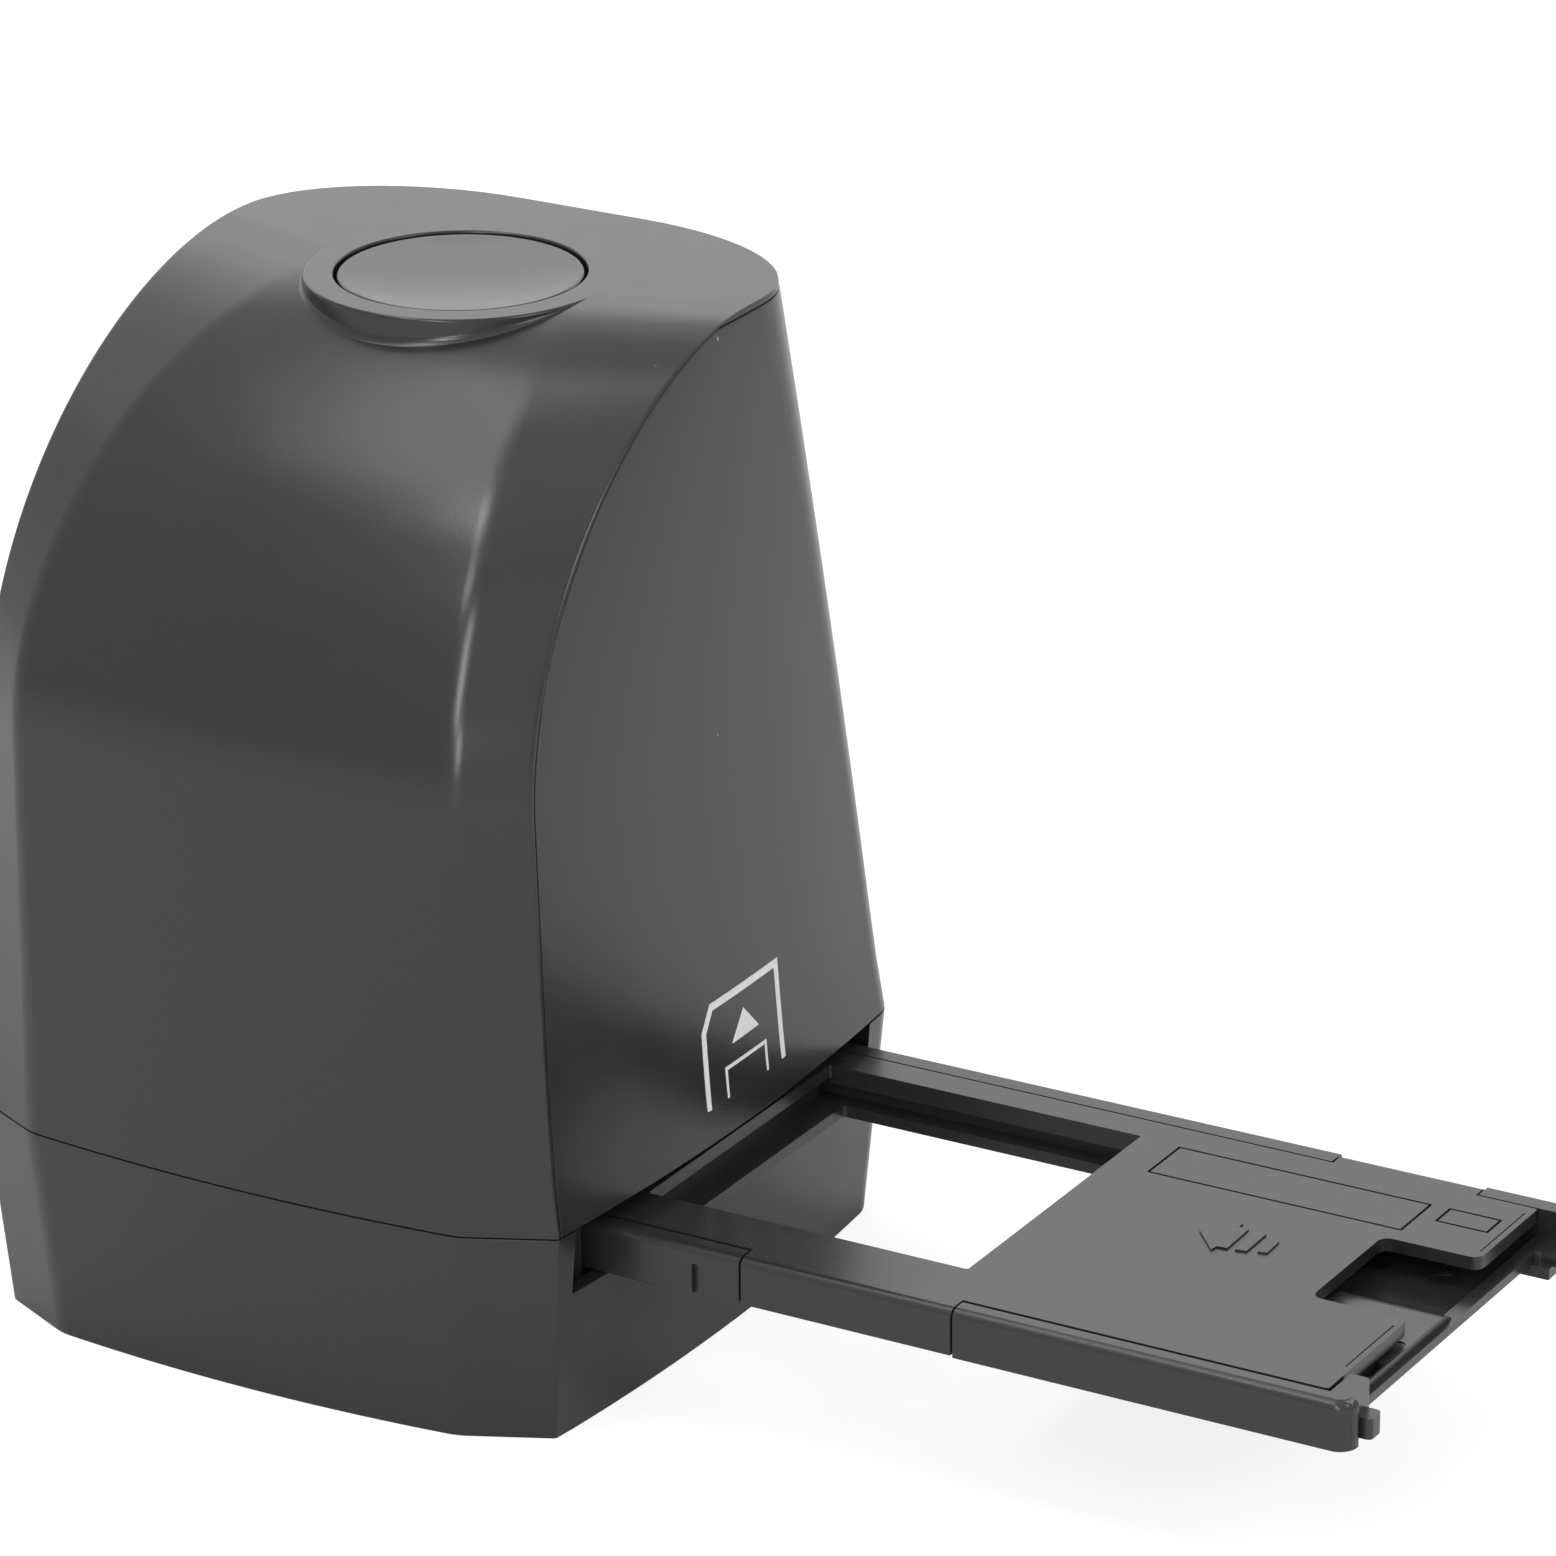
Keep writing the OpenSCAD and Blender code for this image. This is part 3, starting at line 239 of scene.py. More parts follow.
def screenPrint(name, shade):
    finish = Finish(name, IOR=1.45)
    thin = finish.ramp(finish.noise(0.5 * mm, 3), 0.25, 0.55)
    return finish.feed(Base_Color=finish.mix(thin, tinted(shade, 0.86), shade), Roughness=0.55 + thin * 0.08,
                       Normal=finish.bump(finish.noise(0.3 * mm, 2), 0.01 * mm))


def rubber(name, shade):
    finish = Finish(name, IOR=1.52)
    scuff = finish.ramp(finish.noise(2.2 * mm, 4), 0.45, 0.75)
    return finish.feed(Base_Color=finish.mix(scuff, shade, tinted(shade, 2.2)), Roughness=0.72 + scuff * 0.15,
                       Normal=finish.bump(finish.noise(0.25 * mm, 3), 0.02 * mm))


def metal(name, shade, roughness, stretch=(1, 1, 1), wear=0.12):
    finish = Finish(name)
    lines = finish.noise(0.25 * mm, 4, stretch, 0.6)
    base = finish.mix(finish.noise(2.5 * mm, 3), tinted(shade, 1 - wear), tinted(shade, 1 + wear))
    return finish.feed(Base_Color=base, Metallic=1.0, Roughness=roughness - 0.08 + lines * 0.16,
                       Normal=finish.bump(lines, 0.004 * mm))


def circuitBoard(name, shade, copper):
    # solder mask over tracks: two directions of thin bands, cut into patches
    finish = Finish(name, IOR=1.5, Coat_Weight=0.3)
    across, along = (finish.ramp(finish.bands(9 * mm, way), 0.72, 0.80) for way in ("X", "Z"))
    patches = finish.cells(7 * mm, "Color", distance="MANHATTAN")
    choice = finish.ramp(finish.node("ShaderNodeSeparateColor", {}, {"Color": patches}, "Red"), 0.40, 0.46)
    track = across * choice + along * (1 - choice)
    rough = 0.34 + finish.noise(4 * mm) * 0.1
    return finish.feed(Base_Color=finish.mix(track, shade, copper), Roughness=rough,
                       Normal=finish.bump(track, 0.035 * mm))


def clearPart(name, shade, roughness, through, coat=0.0):
    finish = Finish(name, IOR=1.5, Transmission_Weight=through, Coat_Weight=coat)
    smear = finish.noise(8 * mm, 3)
    base = finish.mix(smear, tinted(shade, 0.94), shade)
    return finish.feed(Base_Color=base, Roughness=roughness + smear * 0.03)


def lampDie(name, shade, phosphor):
    # a bright moulded rim around the yellow phosphor of each lamp
    finish = Finish(name, IOR=1.5)
    spots = finish.noise(0.6 * mm, 3)
    return finish.feed(Base_Color=finish.mix(finish.ramp(spots, 0.4, 0.6), shade, phosphor),
                       Roughness=0.3 + spots * 0.15)


def filmRibbon(name, shade, copper):
    finish = Finish(name, IOR=1.6)
    track = finish.ramp(finish.bands(3.2 * mm, "X"), 0.4, 0.55)
    return finish.feed(Base_Color=finish.mix(track, shade, copper), Roughness=0.28 + track * 0.08,
                       Normal=finish.bump(track, 0.03 * mm))


# a finish for every slot, in its own colour where none is given here; grain and depth are in millimetres
shades = {entry["slot"]: tuple(entry["base_color"][:3]) for entry in frame["record"]["materials"]}
shades.update({"housing": (0.0165, 0.0168, 0.0175), "holder_plastic": (0.0190, 0.0192, 0.0198),
               "inner_black": (0.012, 0.012, 0.013)})
recipes = {
    "housing": (mouldedPlastic, {"roughness": 0.235, "grain": 0.32, "depth": 0.010, "dust": 0.8}),
    "holder_plastic": (mouldedPlastic, {"roughness": 0.27, "grain": 0.22, "depth": 0.006, "dust": 0.35,
                                        "streak": 0.10}),
    "inner_black": (mouldedPlastic, {"roughness": 0.55, "grain": 0.4, "depth": 0.016}),
    "guide_plastic": (mouldedPlastic, {"roughness": 0.50, "grain": 0.4, "depth": 0.014}),
    "plunger_plastic": (mouldedPlastic, {"roughness": 0.40, "grain": 0.3, "depth": 0.006}),
    "white_plastic": (mouldedPlastic, {"roughness": 0.38, "grain": 0.3, "depth": 0.006}),
    "chip_black": (mouldedPlastic, {"roughness": 0.48, "grain": 0.12, "depth": 0.012}),
    "print_white": (screenPrint, {}),
    "rubber_black": (rubber, {}),
    "screw_steel": (metal, {"roughness": 0.30}),
    "spring_steel": (metal, {"roughness": 0.24, "stretch": (0.05, 1, 1)}),
    "ring_metal": (metal, {"roughness": 0.38}),
    "socket_metal": (metal, {"roughness": 0.22, "stretch": (1, 0.06, 1), "wear": 0.06}),
    "board_green": (circuitBoard, {"copper": (0.05, 0.24, 0.09)}),
    "led_white": (lampDie, {"phosphor": (0.86, 0.66, 0.16)}),
    "opal": (clearPart, {"roughness": 0.5, "through": 0.25}),
    "clear_window": (clearPart, {"roughness": 0.03, "through": 0.95}),
    "lens_glass": (clearPart, {"roughness": 0.0, "through": 1.0, "coat": 0.4}),
    "filter_glass": (clearPart, {"roughness": 0.02, "through": 0.9, "coat": 0.4}),
    "sensor_dark": (clearPart, {"roughness": 0.08, "through": 0.0, "coat": 1.0}),
    "ribbon": (filmRibbon, {"copper": (0.62, 0.30, 0.10)}),
}
finishes = {name: make(name, shades[name], **settings) for name, (make, settings) in recipes.items()}


def asObject(bm, name):
    mesh = bpy.data.meshes.new(name)
    bm.to_mesh(mesh)
    bm.free()
    return newObject(name, mesh)


@contextmanager
def edited(piece):
    # the piece's mesh to work on, put back at the end
    bm = bmesh.new()
    bm.from_mesh(piece.data)
    yield bm
    bm.to_mesh(piece.data)
    bm.free()


def merge(bm, reach):
    bmesh.ops.remove_doubles(bm, verts=bm.verts, dist=reach * mm)


def fillEnds(bm):
    ends = [edge for edge in bm.edges if edge.is_boundary]
    if ends:
        bmesh.ops.holes_fill(bm, edges=ends, sides=0)


def closeUp(bm, halves):
    # mirrors a half, merges its seam, fills the open ends and turns the faces outwards
    if halves:
        bmesh.ops.mirror(bm, geom=bm.verts[:] + bm.edges[:] + bm.faces[:], matrix=Matrix(),
                         merge_dist=tiny, axis="X")
    merge(bm, 0.005)
    fillEnds(bm)
    bmesh.ops.recalc_face_normals(bm, faces=bm.faces)


def loft(rings, halves=True, closed=False):
    # draws the first ring as a chain of edges, extrudes it through the others and closes it up
    bm = bmesh.new()
    column = bm.verts.layers.int.new("column")
    chain = [bm.verts.new(point) for point in rings[0]]
    for i, vert in enumerate(chain):
        vert[column] = i
    edges = [bm.edges.new(pair) for pair in zip(chain, chain[1:] + (chain[:1] if closed else []))]
    for ring in rings[1:]:
        grown = bmesh.ops.extrude_edge_only(bm, edges=edges)["geom"]
        fresh = {part for part in grown if isinstance(part, bmesh.types.BMVert)}
        for vert in fresh:
            vert.co = ring[vert[column]]
        edges = [part for part in grown if isinstance(part, bmesh.types.BMEdge) and set(part.verts) <= fresh]
    closeUp(bm, halves)
    return bm


def roundOff(bm, edges, width, segments=3):
    if edges:
        bmesh.ops.bevel(bm, geom=edges, offset=width, offset_type="OFFSET", affect="EDGES",
                        segments=segments, profile=0.5, material=-1, clamp_overlap=True)


def sharpEdges(bm, angle):
    return [edge for edge in bm.edges if edge.calc_face_angle(0) > math.radians(angle)]


def edgesWhere(bm, test):
    # edges whose two ends both pass the test
    return [edge for edge in bm.edges if all(test(vert.co) for vert in edge.verts)]


def edgesAlong(bm, axis):
    return [edge for edge in bm.edges if abs(edge.verts[0].co[axis] - edge.verts[1].co[axis]) > mm]


def middleOf(edge):
    return (edge.verts[0].co + edge.verts[1].co) / 2


def addBox(bm, low, high):
    made = bmesh.ops.create_cube(bm, size=1)["verts"]
    low, high = Vector(low), Vector(high)
    bmesh.ops.scale(bm, vec=high - low, verts=made)
    bmesh.ops.translate(bm, vec=(low + high) / 2, verts=made)


def addRod(bm, radius, start, end, sides=32):
    start, end = Vector(start), Vector(end)
    turn = Vector((0, 0, 1)).rotation_difference(end - start).to_matrix().to_4x4()
    bmesh.ops.create_cone(bm, cap_ends=True, segments=sides, radius1=radius, radius2=radius,
                          depth=(end - start).length, matrix=Matrix.Translation((start + end) / 2) @ turn)


def spun(profile, centre, sides=96):
    # a profile of (radius, height) that starts and ends on the vertical through centre, turned about it
    bm = bmesh.new()
    chain = [bm.verts.new((centre[0] + r, centre[1], z)) for r, z in profile]
    edges = [bm.edges.new(pair) for pair in zip(chain, chain[1:])]
    bmesh.ops.spin(bm, geom=chain + edges, cent=(*centre, 0), axis=(0, 0, 1), angle=2 * math.pi,
                   steps=sides, use_merge=True)
    closeUp(bm, halves=False)
    return bm


def roundedLoop(*corners):
    # plan outline from corners of x, y and radius
    loop = []
    for i, (x, y, radius) in enumerate(corners):
        corner, last, after = (Vector(corners[j][:2]) for j in (i, i - 1, (i + 1) % len(corners)))
        start, end = (corner + (other - corner).normalized() * radius for other in (last, after))
        loop += [bezier(start, corner, end, u) for u in shares(6)] if radius else [corner]
    return loop


def addPrism(bm, loop, low, high, along="z"):
    # a solid of the outline between two heights, or between two places along x
    place = (lambda p, h: (p[0], p[1], h)) if along == "z" else (lambda p, h: (h, p[0], p[1]))
    face = bm.faces.new([bm.verts.new(place(p, low)) for p in loop])
    grown = bmesh.ops.extrude_face_region(bm, geom=[face])["geom"]
    made = [part for part in grown if isinstance(part, bmesh.types.BMVert)]
    bmesh.ops.translate(bm, vec=place((0, 0), high - low), verts=made)
    bmesh.ops.recalc_face_normals(bm, faces=bm.faces)


def combine(piece, other, operation, crossing=False):
    # joins the piece with an object or a mesh, or cuts that out of it; parts of the other may cross
    tool = other if isinstance(other, bpy.types.Object) else asObject(other, "tool")
    change = piece.modifiers.new("combine", "BOOLEAN")
    change.operation, change.object, change.solver = operation, tool, "EXACT"
    change.use_self = crossing
    graph = bpy.context.evaluated_depsgraph_get()
    graph.update()
    mesh = bpy.data.meshes.new_from_object(piece.evaluated_get(graph))
    piece.modifiers.clear()
    piece.data = mesh
    bpy.data.meshes.remove(tool.data)
    with edited(piece) as bm:
        merge(bm, 0.002)
        fillEnds(bm)


def combineRods(piece, operation, rods, crossing=False):
    bm = bmesh.new()
    for rod in rods:
        addRod(bm, *rod)
    combine(piece, bm, operation, crossing)


def soften(piece, width, shortest):
    # rounds the long outer edges
    with edited(piece) as bm:
        merge(bm, 0.002)
        bmesh.ops.dissolve_limit(bm, angle_limit=math.radians(0.5), verts=bm.verts, edges=bm.edges)
        long = [edge for edge in sharpEdges(bm, 60) if edge.is_convex and edge.calc_length() > shortest]
        roundOff(bm, long, width, 2)
        merge(bm, 0.015)


def finishPiece(piece, body, slot, *nodes, smooth=32, weighted=True):
    with edited(piece) as bm:
        merge(bm, 0.002)
        for face in bm.faces:
            face.smooth = True
        for edge in bm.edges:
            edge.smooth = edge.calc_face_angle(0) < math.radians(smooth)
    if weighted:
        normals = piece.modifiers.new("normals", "WEIGHTED_NORMAL")
        normals.keep_sharp, normals.weight = True, 50
    piece.data.materials.clear()
    piece.data.materials.append(finishes[slot])
    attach(piece, body)
    if nodes:
        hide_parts(*nodes)
    print(f"{piece.name}: {len(piece.data.polygons)} faces")


# outline of the tower: sizes, powers of its curves, how far crease, corner and rear rounding follow when it
# is drawn in, and steps of its mesh
tower = millimetres(
    cornerIn=11.5, cornerBack=5.5, cornerWider=14.8, sideLean=4.7, frontLean=0.6, rearLean=7.8,
    baseTaper=2.1, sideBow=2.2, frontBow=1.8, arch=50.7, topBack=56.3, topSideBack=63.1, rearRound=7,
    rearRoundTop=(30, 20.5), rearRoundRoom=0.4, wall=2.2, crease=1.4, corner=0.5, seamBack=0.55,
    seamGap=0.2, topLip=0.8, topRound=0.55, seamRound=0.22, lastLevel=0.25
) | {"leanPower": 0.62, "archPower": 1.86, "rearPower": 1.5, "levelPower": 1.05, "drawnIn": (0.4, 0.5, 0.6),
     "steps": {"front": 24, "crease": 8, "facet": 4, "corner": 4, "side": 24, "rearCorner": 16, "rear": 5,
               "straight": 8, "arch": 56}}
frameLow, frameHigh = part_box("tray_frame")
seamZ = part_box("base_shell")[1].z
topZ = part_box("front_cover")[1].z
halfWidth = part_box("base_shell")[1].x - tower["sideBow"]
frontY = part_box("base_shell")[0].y + tower["frontBow"]
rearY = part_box("base_shell")[1].y
sideY = frontY + tower["cornerBack"]
archZ = topZ - tower["arch"]


def planAt(z, inset=0.0, top=None):
    # the lines that the plan outline is drawn on, at height z, drawn in by inset
    rise = max(0, (z - seamZ) / (topZ - seamZ))
    below = tower["baseTaper"] * max(0, 1 - z / seamZ)
    turn = max(0, min(1, (z - archZ) / ((top or topZ) - archZ)))
    arch = 1 - (1 - turn ** tower["archPower"]) ** (1 / tower["archPower"])
    lean = rise ** tower["leanPower"]
    front = tower["frontLean"] * lean
    creaseIn, cornerIn, roundIn = (share * inset for share in tower["drawnIn"])
    rearRise = rise ** tower["rearPower"]
    rx, ry = (blend(tower["rearRound"], most, rearRise) - roundIn for most in tower["rearRoundTop"])
    plan = {"z": z, "w": halfWidth - below - tower["sideLean"] * lean - inset, "rx": rx, "ry": ry,
            "xc": halfWidth - tower["cornerIn"] - tower["cornerWider"] * arch - below - creaseIn,
            "yf": blend(frontY + front, frontY + tower["topBack"], arch) + inset + below,
            "ys": blend(sideY + front, frontY + tower["topSideBack"], arch) + below + cornerIn,
            "yr": rearY - below - tower["rearLean"] * rise - inset}
    length = plan["yr"] - ry - plan["ys"]
    plan["bow"] = tower["sideBow"] * (length / (rearY - tower["rearRound"] - sideY)) ** 2
    return plan


def sideX(plan, u):
    # the bowed side, u from its front end to its rear end
    return plan["w"] + plan["bow"] * 4 * u * (1 - u)


def frontColumns(plan, seam=tower["seamBack"]):
    # from the middle of the front, over the crease and the facet, to the seam behind the corner
    z, xc, yf, w, ys = (plan[key] for key in ("z", "xc", "yf", "w", "ys"))
    small, steps = tower["corner"], tower["steps"]
    middle, corner = Vector((xc, yf, z)), Vector((w, ys, z))
    facet = (corner - middle).normalized()
    tangent = min(tower["crease"], 0.3 * (corner - middle).length)
    arcEnd = 1 - tangent / xc
    front = [Vector((xc * u, yf - tower["frontBow"] * (1 - u * u), z))
             for u in (arcEnd * share for share in shares(steps["front"]))]
    crease = [bezier(front[-1], middle, middle + facet * tangent, u) for u in shares(steps["crease"], 1)]
    flat = [blend(crease[-1], corner - facet * small, u) for u in shares(steps["facet"], 1)]
    rounding = [bezier(flat[-1], corner, Vector((w, ys + small, z)), u) for u in shares(steps["corner"], 1)]
    return front + crease + flat + rounding + [Vector((w, ys + seam, z))]


def rearColumns(plan, seam=tower["seamBack"]):
    # from the seam along the side and round the corner to the middle of the rear
    z, w, ys, yr, rx, ry = (plan[key] for key in ("z", "w", "ys", "yr", "rx", "ry"))
    ry = min(ry, yr - ys - seam - tower["rearRoundRoom"])
    length, steps = yr - ry - ys, tower["steps"]
    side = [Vector((sideX(plan, u), ys + length * u, z))
            for u in (blend(seam / length, 1, share) for share in shares(steps["side"]))]
    corner = [Vector((w - rx + rx * math.cos(turn), yr - ry + ry * math.sin(turn), z))
              for turn in (math.pi / 2 * share for share in shares(steps["rearCorner"], 1))]
    return side + corner + [Vector(((w - rx) * (1 - share), yr, z)) for share in shares(steps["rear"], 1)]


def archLevels(start, top, stop=None):
    # heights that follow one another closely where the front runs over into the top
    steps, power = tower["steps"], tower["levelPower"]
    straight = [blend(start, archZ, u) for u in shares(steps["straight"])[:-1]]
    arch = [blend(archZ, top, math.sin(math.pi / 2 * u) ** power) for u in shares(steps["arch"])]
    if stop:
        arch = [z for z in arch if z < stop - tower["lastLevel"]] + [stop]
    return straight + arch


def sideSurface(y, z):
    plan = planAt(z)
    return sideX(plan, (y - plan["ys"]) / (plan["yr"] - plan["ry"] - plan["ys"]))


def frontHeight(x, y):
    # height of the arched front above the point x, y, found by halving
    low, high = archZ, topZ
    for halving in range(24):
        plan = planAt((low + high) / 2)
        u = min(1, abs(x) / plan["xc"])
        skin = plan["yf"] - tower["frontBow"] * (1 - u * u)
        if abs(x) > plan["xc"]:
            skin += (plan["ys"] - plan["yf"]) * (abs(x) - plan["xc"]) / (plan["w"] - plan["xc"])
        low, high = (plan["z"], high) if skin < y else (low, plan["z"])
    return low


# screw bosses that stand on the seam inside both housings, each with a web to the wall
boss = millimetres(radius=2.8, inside=15, height=12, web=1.6, bore=1.3, roof=2, front=7.1, rear=5.3)


def addBosses(shell, y, wallY, stand="UNION", bore="DIFFERENCE"):
    high, half = seamZ + boss["height"], boss["web"] / 2
    start, way = math.degrees(math.asin(half / boss["radius"])), math.copysign(1, wallY - y)
    places = [side * (halfWidth - boss["inside"]) for side in (-1, 1)]
    bm = bmesh.new()
    for x in places:
        ring = arc((x, y), boss["radius"], way * (90 - start), way * (start - 270), 40)
        addPrism(bm, ring + [(x - half, wallY), (x + half, wallY)], seamZ + tower["seamGap"] / 2, high)
    combine(shell, bm, stand)
    top = high - boss["roof"]
    combineRods(shell, bore, [(boss["bore"], (x, y, seamZ - mm), (x, y, top), 24) for x in places])


# front and top housing, in one piece with the button's collar
cover = millimetres(tongue=0.35, seam=1.1, below=2, rearIn=1.0, ledge=1.6, ledgeIn=4.0, above=(0.1, 0.02))
button = millimetres(centreY=5.4, capRadius=16, gap=0.4, collar=3.9, collarDrop=7.6, rimRound=0.3,
                     collarRound=0.35, sunk=0.003, boreBelow=20, boreAbove=2, pilot=0.95, pilotTop=2.6
                     ) | {"pilotsAt": (90, 210, 330)}
boreR = button["capRadius"] + button["gap"]
collarR = boreR + button["collar"]
collarZ = topZ - button["collarDrop"]
lipZ = topZ - tower["topLip"]


def onCover(edge):
    # whether the edge is on the outside of the front and top housing
    at = middleOf(edge)
    plan = planAt(at.z)
    if at.z < seamZ + tower["seamGap"]:
        return at.y < plan["ys"] + 0.3 * mm
    beside = abs(at.x) > plan["w"] - 0.4 * mm
    onRim = at.z > lipZ - tiny and (beside or at.y > plan["ys"])
    return onRim or (beside and at.y < plan["ys"] + tower["seamBack"] + 0.2 * mm)


def coverSkin():
    inner = tower["wall"] + cover["tongue"]
    rings = [frontColumns(planAt(z)) + rearColumns(planAt(z, inner), tower["seamBack"] - inner / 2)
             for z in archLevels(seamZ + tower["seamGap"] / 2, topZ, lipZ)]
    # a few levels between the lip and the flat top, so that the arch runs out smoothly
    first, last = cover["above"]
    above = [z for z in archLevels(seamZ, topZ) if lipZ + first < z < topZ - last]
    rings += [frontColumns(planAt(z)) + rearColumns(planAt(z)) for z in [lipZ] + above + [topZ]]
    bm = loft(rings)
    outer = [edge for edge in sharpEdges(bm, 45) if onCover(edge)]
    top = [edge for edge in outer if min(vert.co.z for vert in edge.verts) > topZ - tiny]
    roundOff(bm, top, tower["topRound"], 4)
    roundOff(bm, [edge for edge in outer if edge.is_valid], tower["seamRound"], 2)
    merge(bm, 0.018)
    bmesh.ops.dissolve_degenerate(bm, edges=bm.edges, dist=0.004 * mm)
    return asObject(bm, "front_cover_shell")


def coverHollow():
    roof, rings = topZ - tower["wall"], []
    for z in archLevels(seamZ - cover["below"], roof):
        rearIn = cover["rearIn"] if z < roof - cover["ledge"] else cover["ledgeIn"]
        front, rear = (planAt(max(z, seamZ), inset, roof) for inset in (tower["wall"], rearIn))
        rings.append(frontColumns(front, cover["seam"]) + rearColumns(rear, cover["seam"]))
        for point in rings[-1]:
            point.z = z
    return asObject(loft(rings), "cover_hollow")


def makeFrontCover():
    skin, hollow, centre = coverSkin(), coverHollow(), (0, button["centreY"])

    # the collar with its rounded outer rim, joined to the skin and kept out of the hollow
    soft = button["collarRound"]
    rim = arc((collarR - soft, topZ - soft), soft, 90, 0, 6)
    for piece, operation in ((skin, "UNION"), (hollow, "DIFFERENCE")):
        bm = spun([(0, topZ)] + rim + [(collarR, collarZ), (0, collarZ)], centre)
        bmesh.ops.translate(bm, vec=(0, 0, -button["sunk"]), verts=bm.verts)
        combine(piece, bm, operation)
    addBosses(hollow, frameLow.y - boss["front"], frontY + tower["wall"] / 2 + mm, "DIFFERENCE", "UNION")

    # the bore with its rounded edge, and holes from below for the screws of the button's guide
    soft, low, high = button["rimRound"], collarZ - button["boreBelow"], topZ + button["boreAbove"]
    rim = arc((boreR + soft, topZ - soft), soft, 180, 90, 4)
    bm = spun([(0, low), (boreR, low)] + rim + [(boreR + soft, high), (0, high)], centre)
    for turn in button["pilotsAt"]:
        x, y = arc(centre, (boreR + collarR) / 2, turn, turn, 1)[0]
        addRod(bm, button["pilot"], (x, y, collarZ - mm), (x, y, topZ - button["pilotTop"]), 20)
    combine(hollow, bm, "UNION")
    combine(skin, hollow, "DIFFERENCE")
    finishPiece(skin, "tower", "housing", "front_cover")


# small fillet where the collar stands on the arched front: a closed wedge with its back inside the cover
foot = millimetres(reach=0.8, lowest=0.35, inside=0.01, sunk=0.03, thick=0.3) | {
    "from": -175, "to": -5, "rings": 120, "steps": 8, "share": 0.5}


def makeCollarFoot():
    def place(out):
        return wall.x * (collarR + out), button["centreY"] + wall.y * (collarR + out)

    rings = []
    for turn in (math.radians(blend(foot["from"], foot["to"], u)) for u in shares(foot["rings"])):
        wall = Vector((math.cos(turn), math.sin(turn)))
        stand = topZ - frontHeight(*place(0))
        if stand < foot["lowest"]:
            continue
        reach = min(foot["reach"], foot["share"] * stand)
        wedge = []
        for quarter in (math.pi / 2 * u for u in shares(foot["steps"])):
            out = reach * (1 - math.cos(quarter)) - foot["inside"]
            wedge.append((out, frontHeight(*place(out)) - foot["sunk"] + reach * (1 - math.sin(quarter))))
        wedge += [(-foot["thick"], wedge[-1][1] - foot["thick"]), (-foot["thick"], wedge[0][1])]
        rings.append([Vector((*place(out), z)) for out, z in wedge])
    wedges = loft(rings, halves=False, closed=True)
    finishPiece(asObject(wedges, "collar_fillet"), "tower", "housing", weighted=False)


# side and rear housing, with the hole for the data socket and the posts of the main board
socket = millimetres(x=-12, width=9, height=4.6, room=0.3, corner=0.7, cutIn=14, cutOut=5)
post = millimetres(radius=2.4, inside=3, end=4, bore=0.95, boreDeep=3.4)


def onBody(edge):
    # whether the edge is on the outside of the side and rear housing
    at = middleOf(edge)
    plan = planAt(at.z)
    near = 0.1 * mm
    across = max(0, (abs(at.x) - plan["w"] + plan["rx"]) / plan["rx"])
    back = max(0, (at.y - plan["yr"] + plan["ry"]) / plan["ry"])
    return (abs(at.x) > plan["w"] - near or at.y > plan["yr"] - near
            or math.hypot(across, back) > 1 - near / plan["ry"])


def makeBodyShell():
    low, high = seamZ + tower["seamGap"] / 2, lipZ - tower["seamGap"]
    start, wall = tower["seamBack"] + tower["seamGap"], tower["wall"]
    bm = loft([rearColumns(planAt(z), start)[::-1] + rearColumns(planAt(z, wall), start - wall / 2)
               for z in archLevels(low, topZ, high)])
    roundOff(bm, [edge for edge in sharpEdges(bm, 50) if onBody(edge)], tower["seamRound"], 2)
    shell = asObject(bm, "body_shell_walls")

    x, z = socket["x"], (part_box("usb_socket")[0].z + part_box("usb_socket")[1].z) / 2
    wide, tall = (socket[size] / 2 + socket["room"] for size in ("width", "height"))
    bm = bmesh.new()
    addBox(bm, (x - wide, rearY - socket["cutIn"], z - tall), (x + wide, rearY + socket["cutOut"], z + tall))
    roundOff(bm, edgesAlong(bm, 1), socket["corner"], 4)
    combine(shell, bm, "DIFFERENCE")
    addBosses(shell, frameHigh.y + boss["rear"], rearY - wall / 2 - mm)

    boardLow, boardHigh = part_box("main_board")
    y, deep = boardHigh.y, boardHigh.y + post["boreDeep"]
    places = [(x, z) for x in (boardLow.x + post["inside"], boardHigh.x - post["inside"])
              for z in (boardLow.z + post["end"], boardHigh.z - post["end"])]
    combineRods(shell, "UNION", [(post["radius"], (x, y, z), (x, planAt(z)["yr"] - wall / 2, z), 40)
                                 for x, z in places])
    combineRods(shell, "DIFFERENCE", [(post["bore"], (x, y - mm, z), (x, deep, z), 20) for x, z in places])
    finishPiece(shell, "tower", "housing", "body_shell")


# base housing with the slot for the holder, screw columns with their wells, and recesses for the pads
mouth = millimetres(front=7.2, rear=2.0, below=0.1, innerX=41, outerX=60, round=0.3)
base = millimetres(levels=(0, 2, 8, 15, 22), rim=1.5, deck=3.5, rimRoom=2.5, screwFront=7.1, screwRear=5.3,
                   screwIn=15, column=2.8, columnLow=1.9, well=2.5, shank=1.4, headZ=18, footIn=12,
                   footFront=19, footRear=16, foot=4.6)


def onMouth(edge):
    # whether the edge is on the outer mouth of the slot
    at = middleOf(edge)
    return (abs(at.x) > halfWidth - 1.5 * mm and at.z > frameLow.z - mm
            and frameLow.y - mouth["front"] - 0.1 * mm < at.y < frameHigh.y + mouth["rear"] + 0.1 * mm)


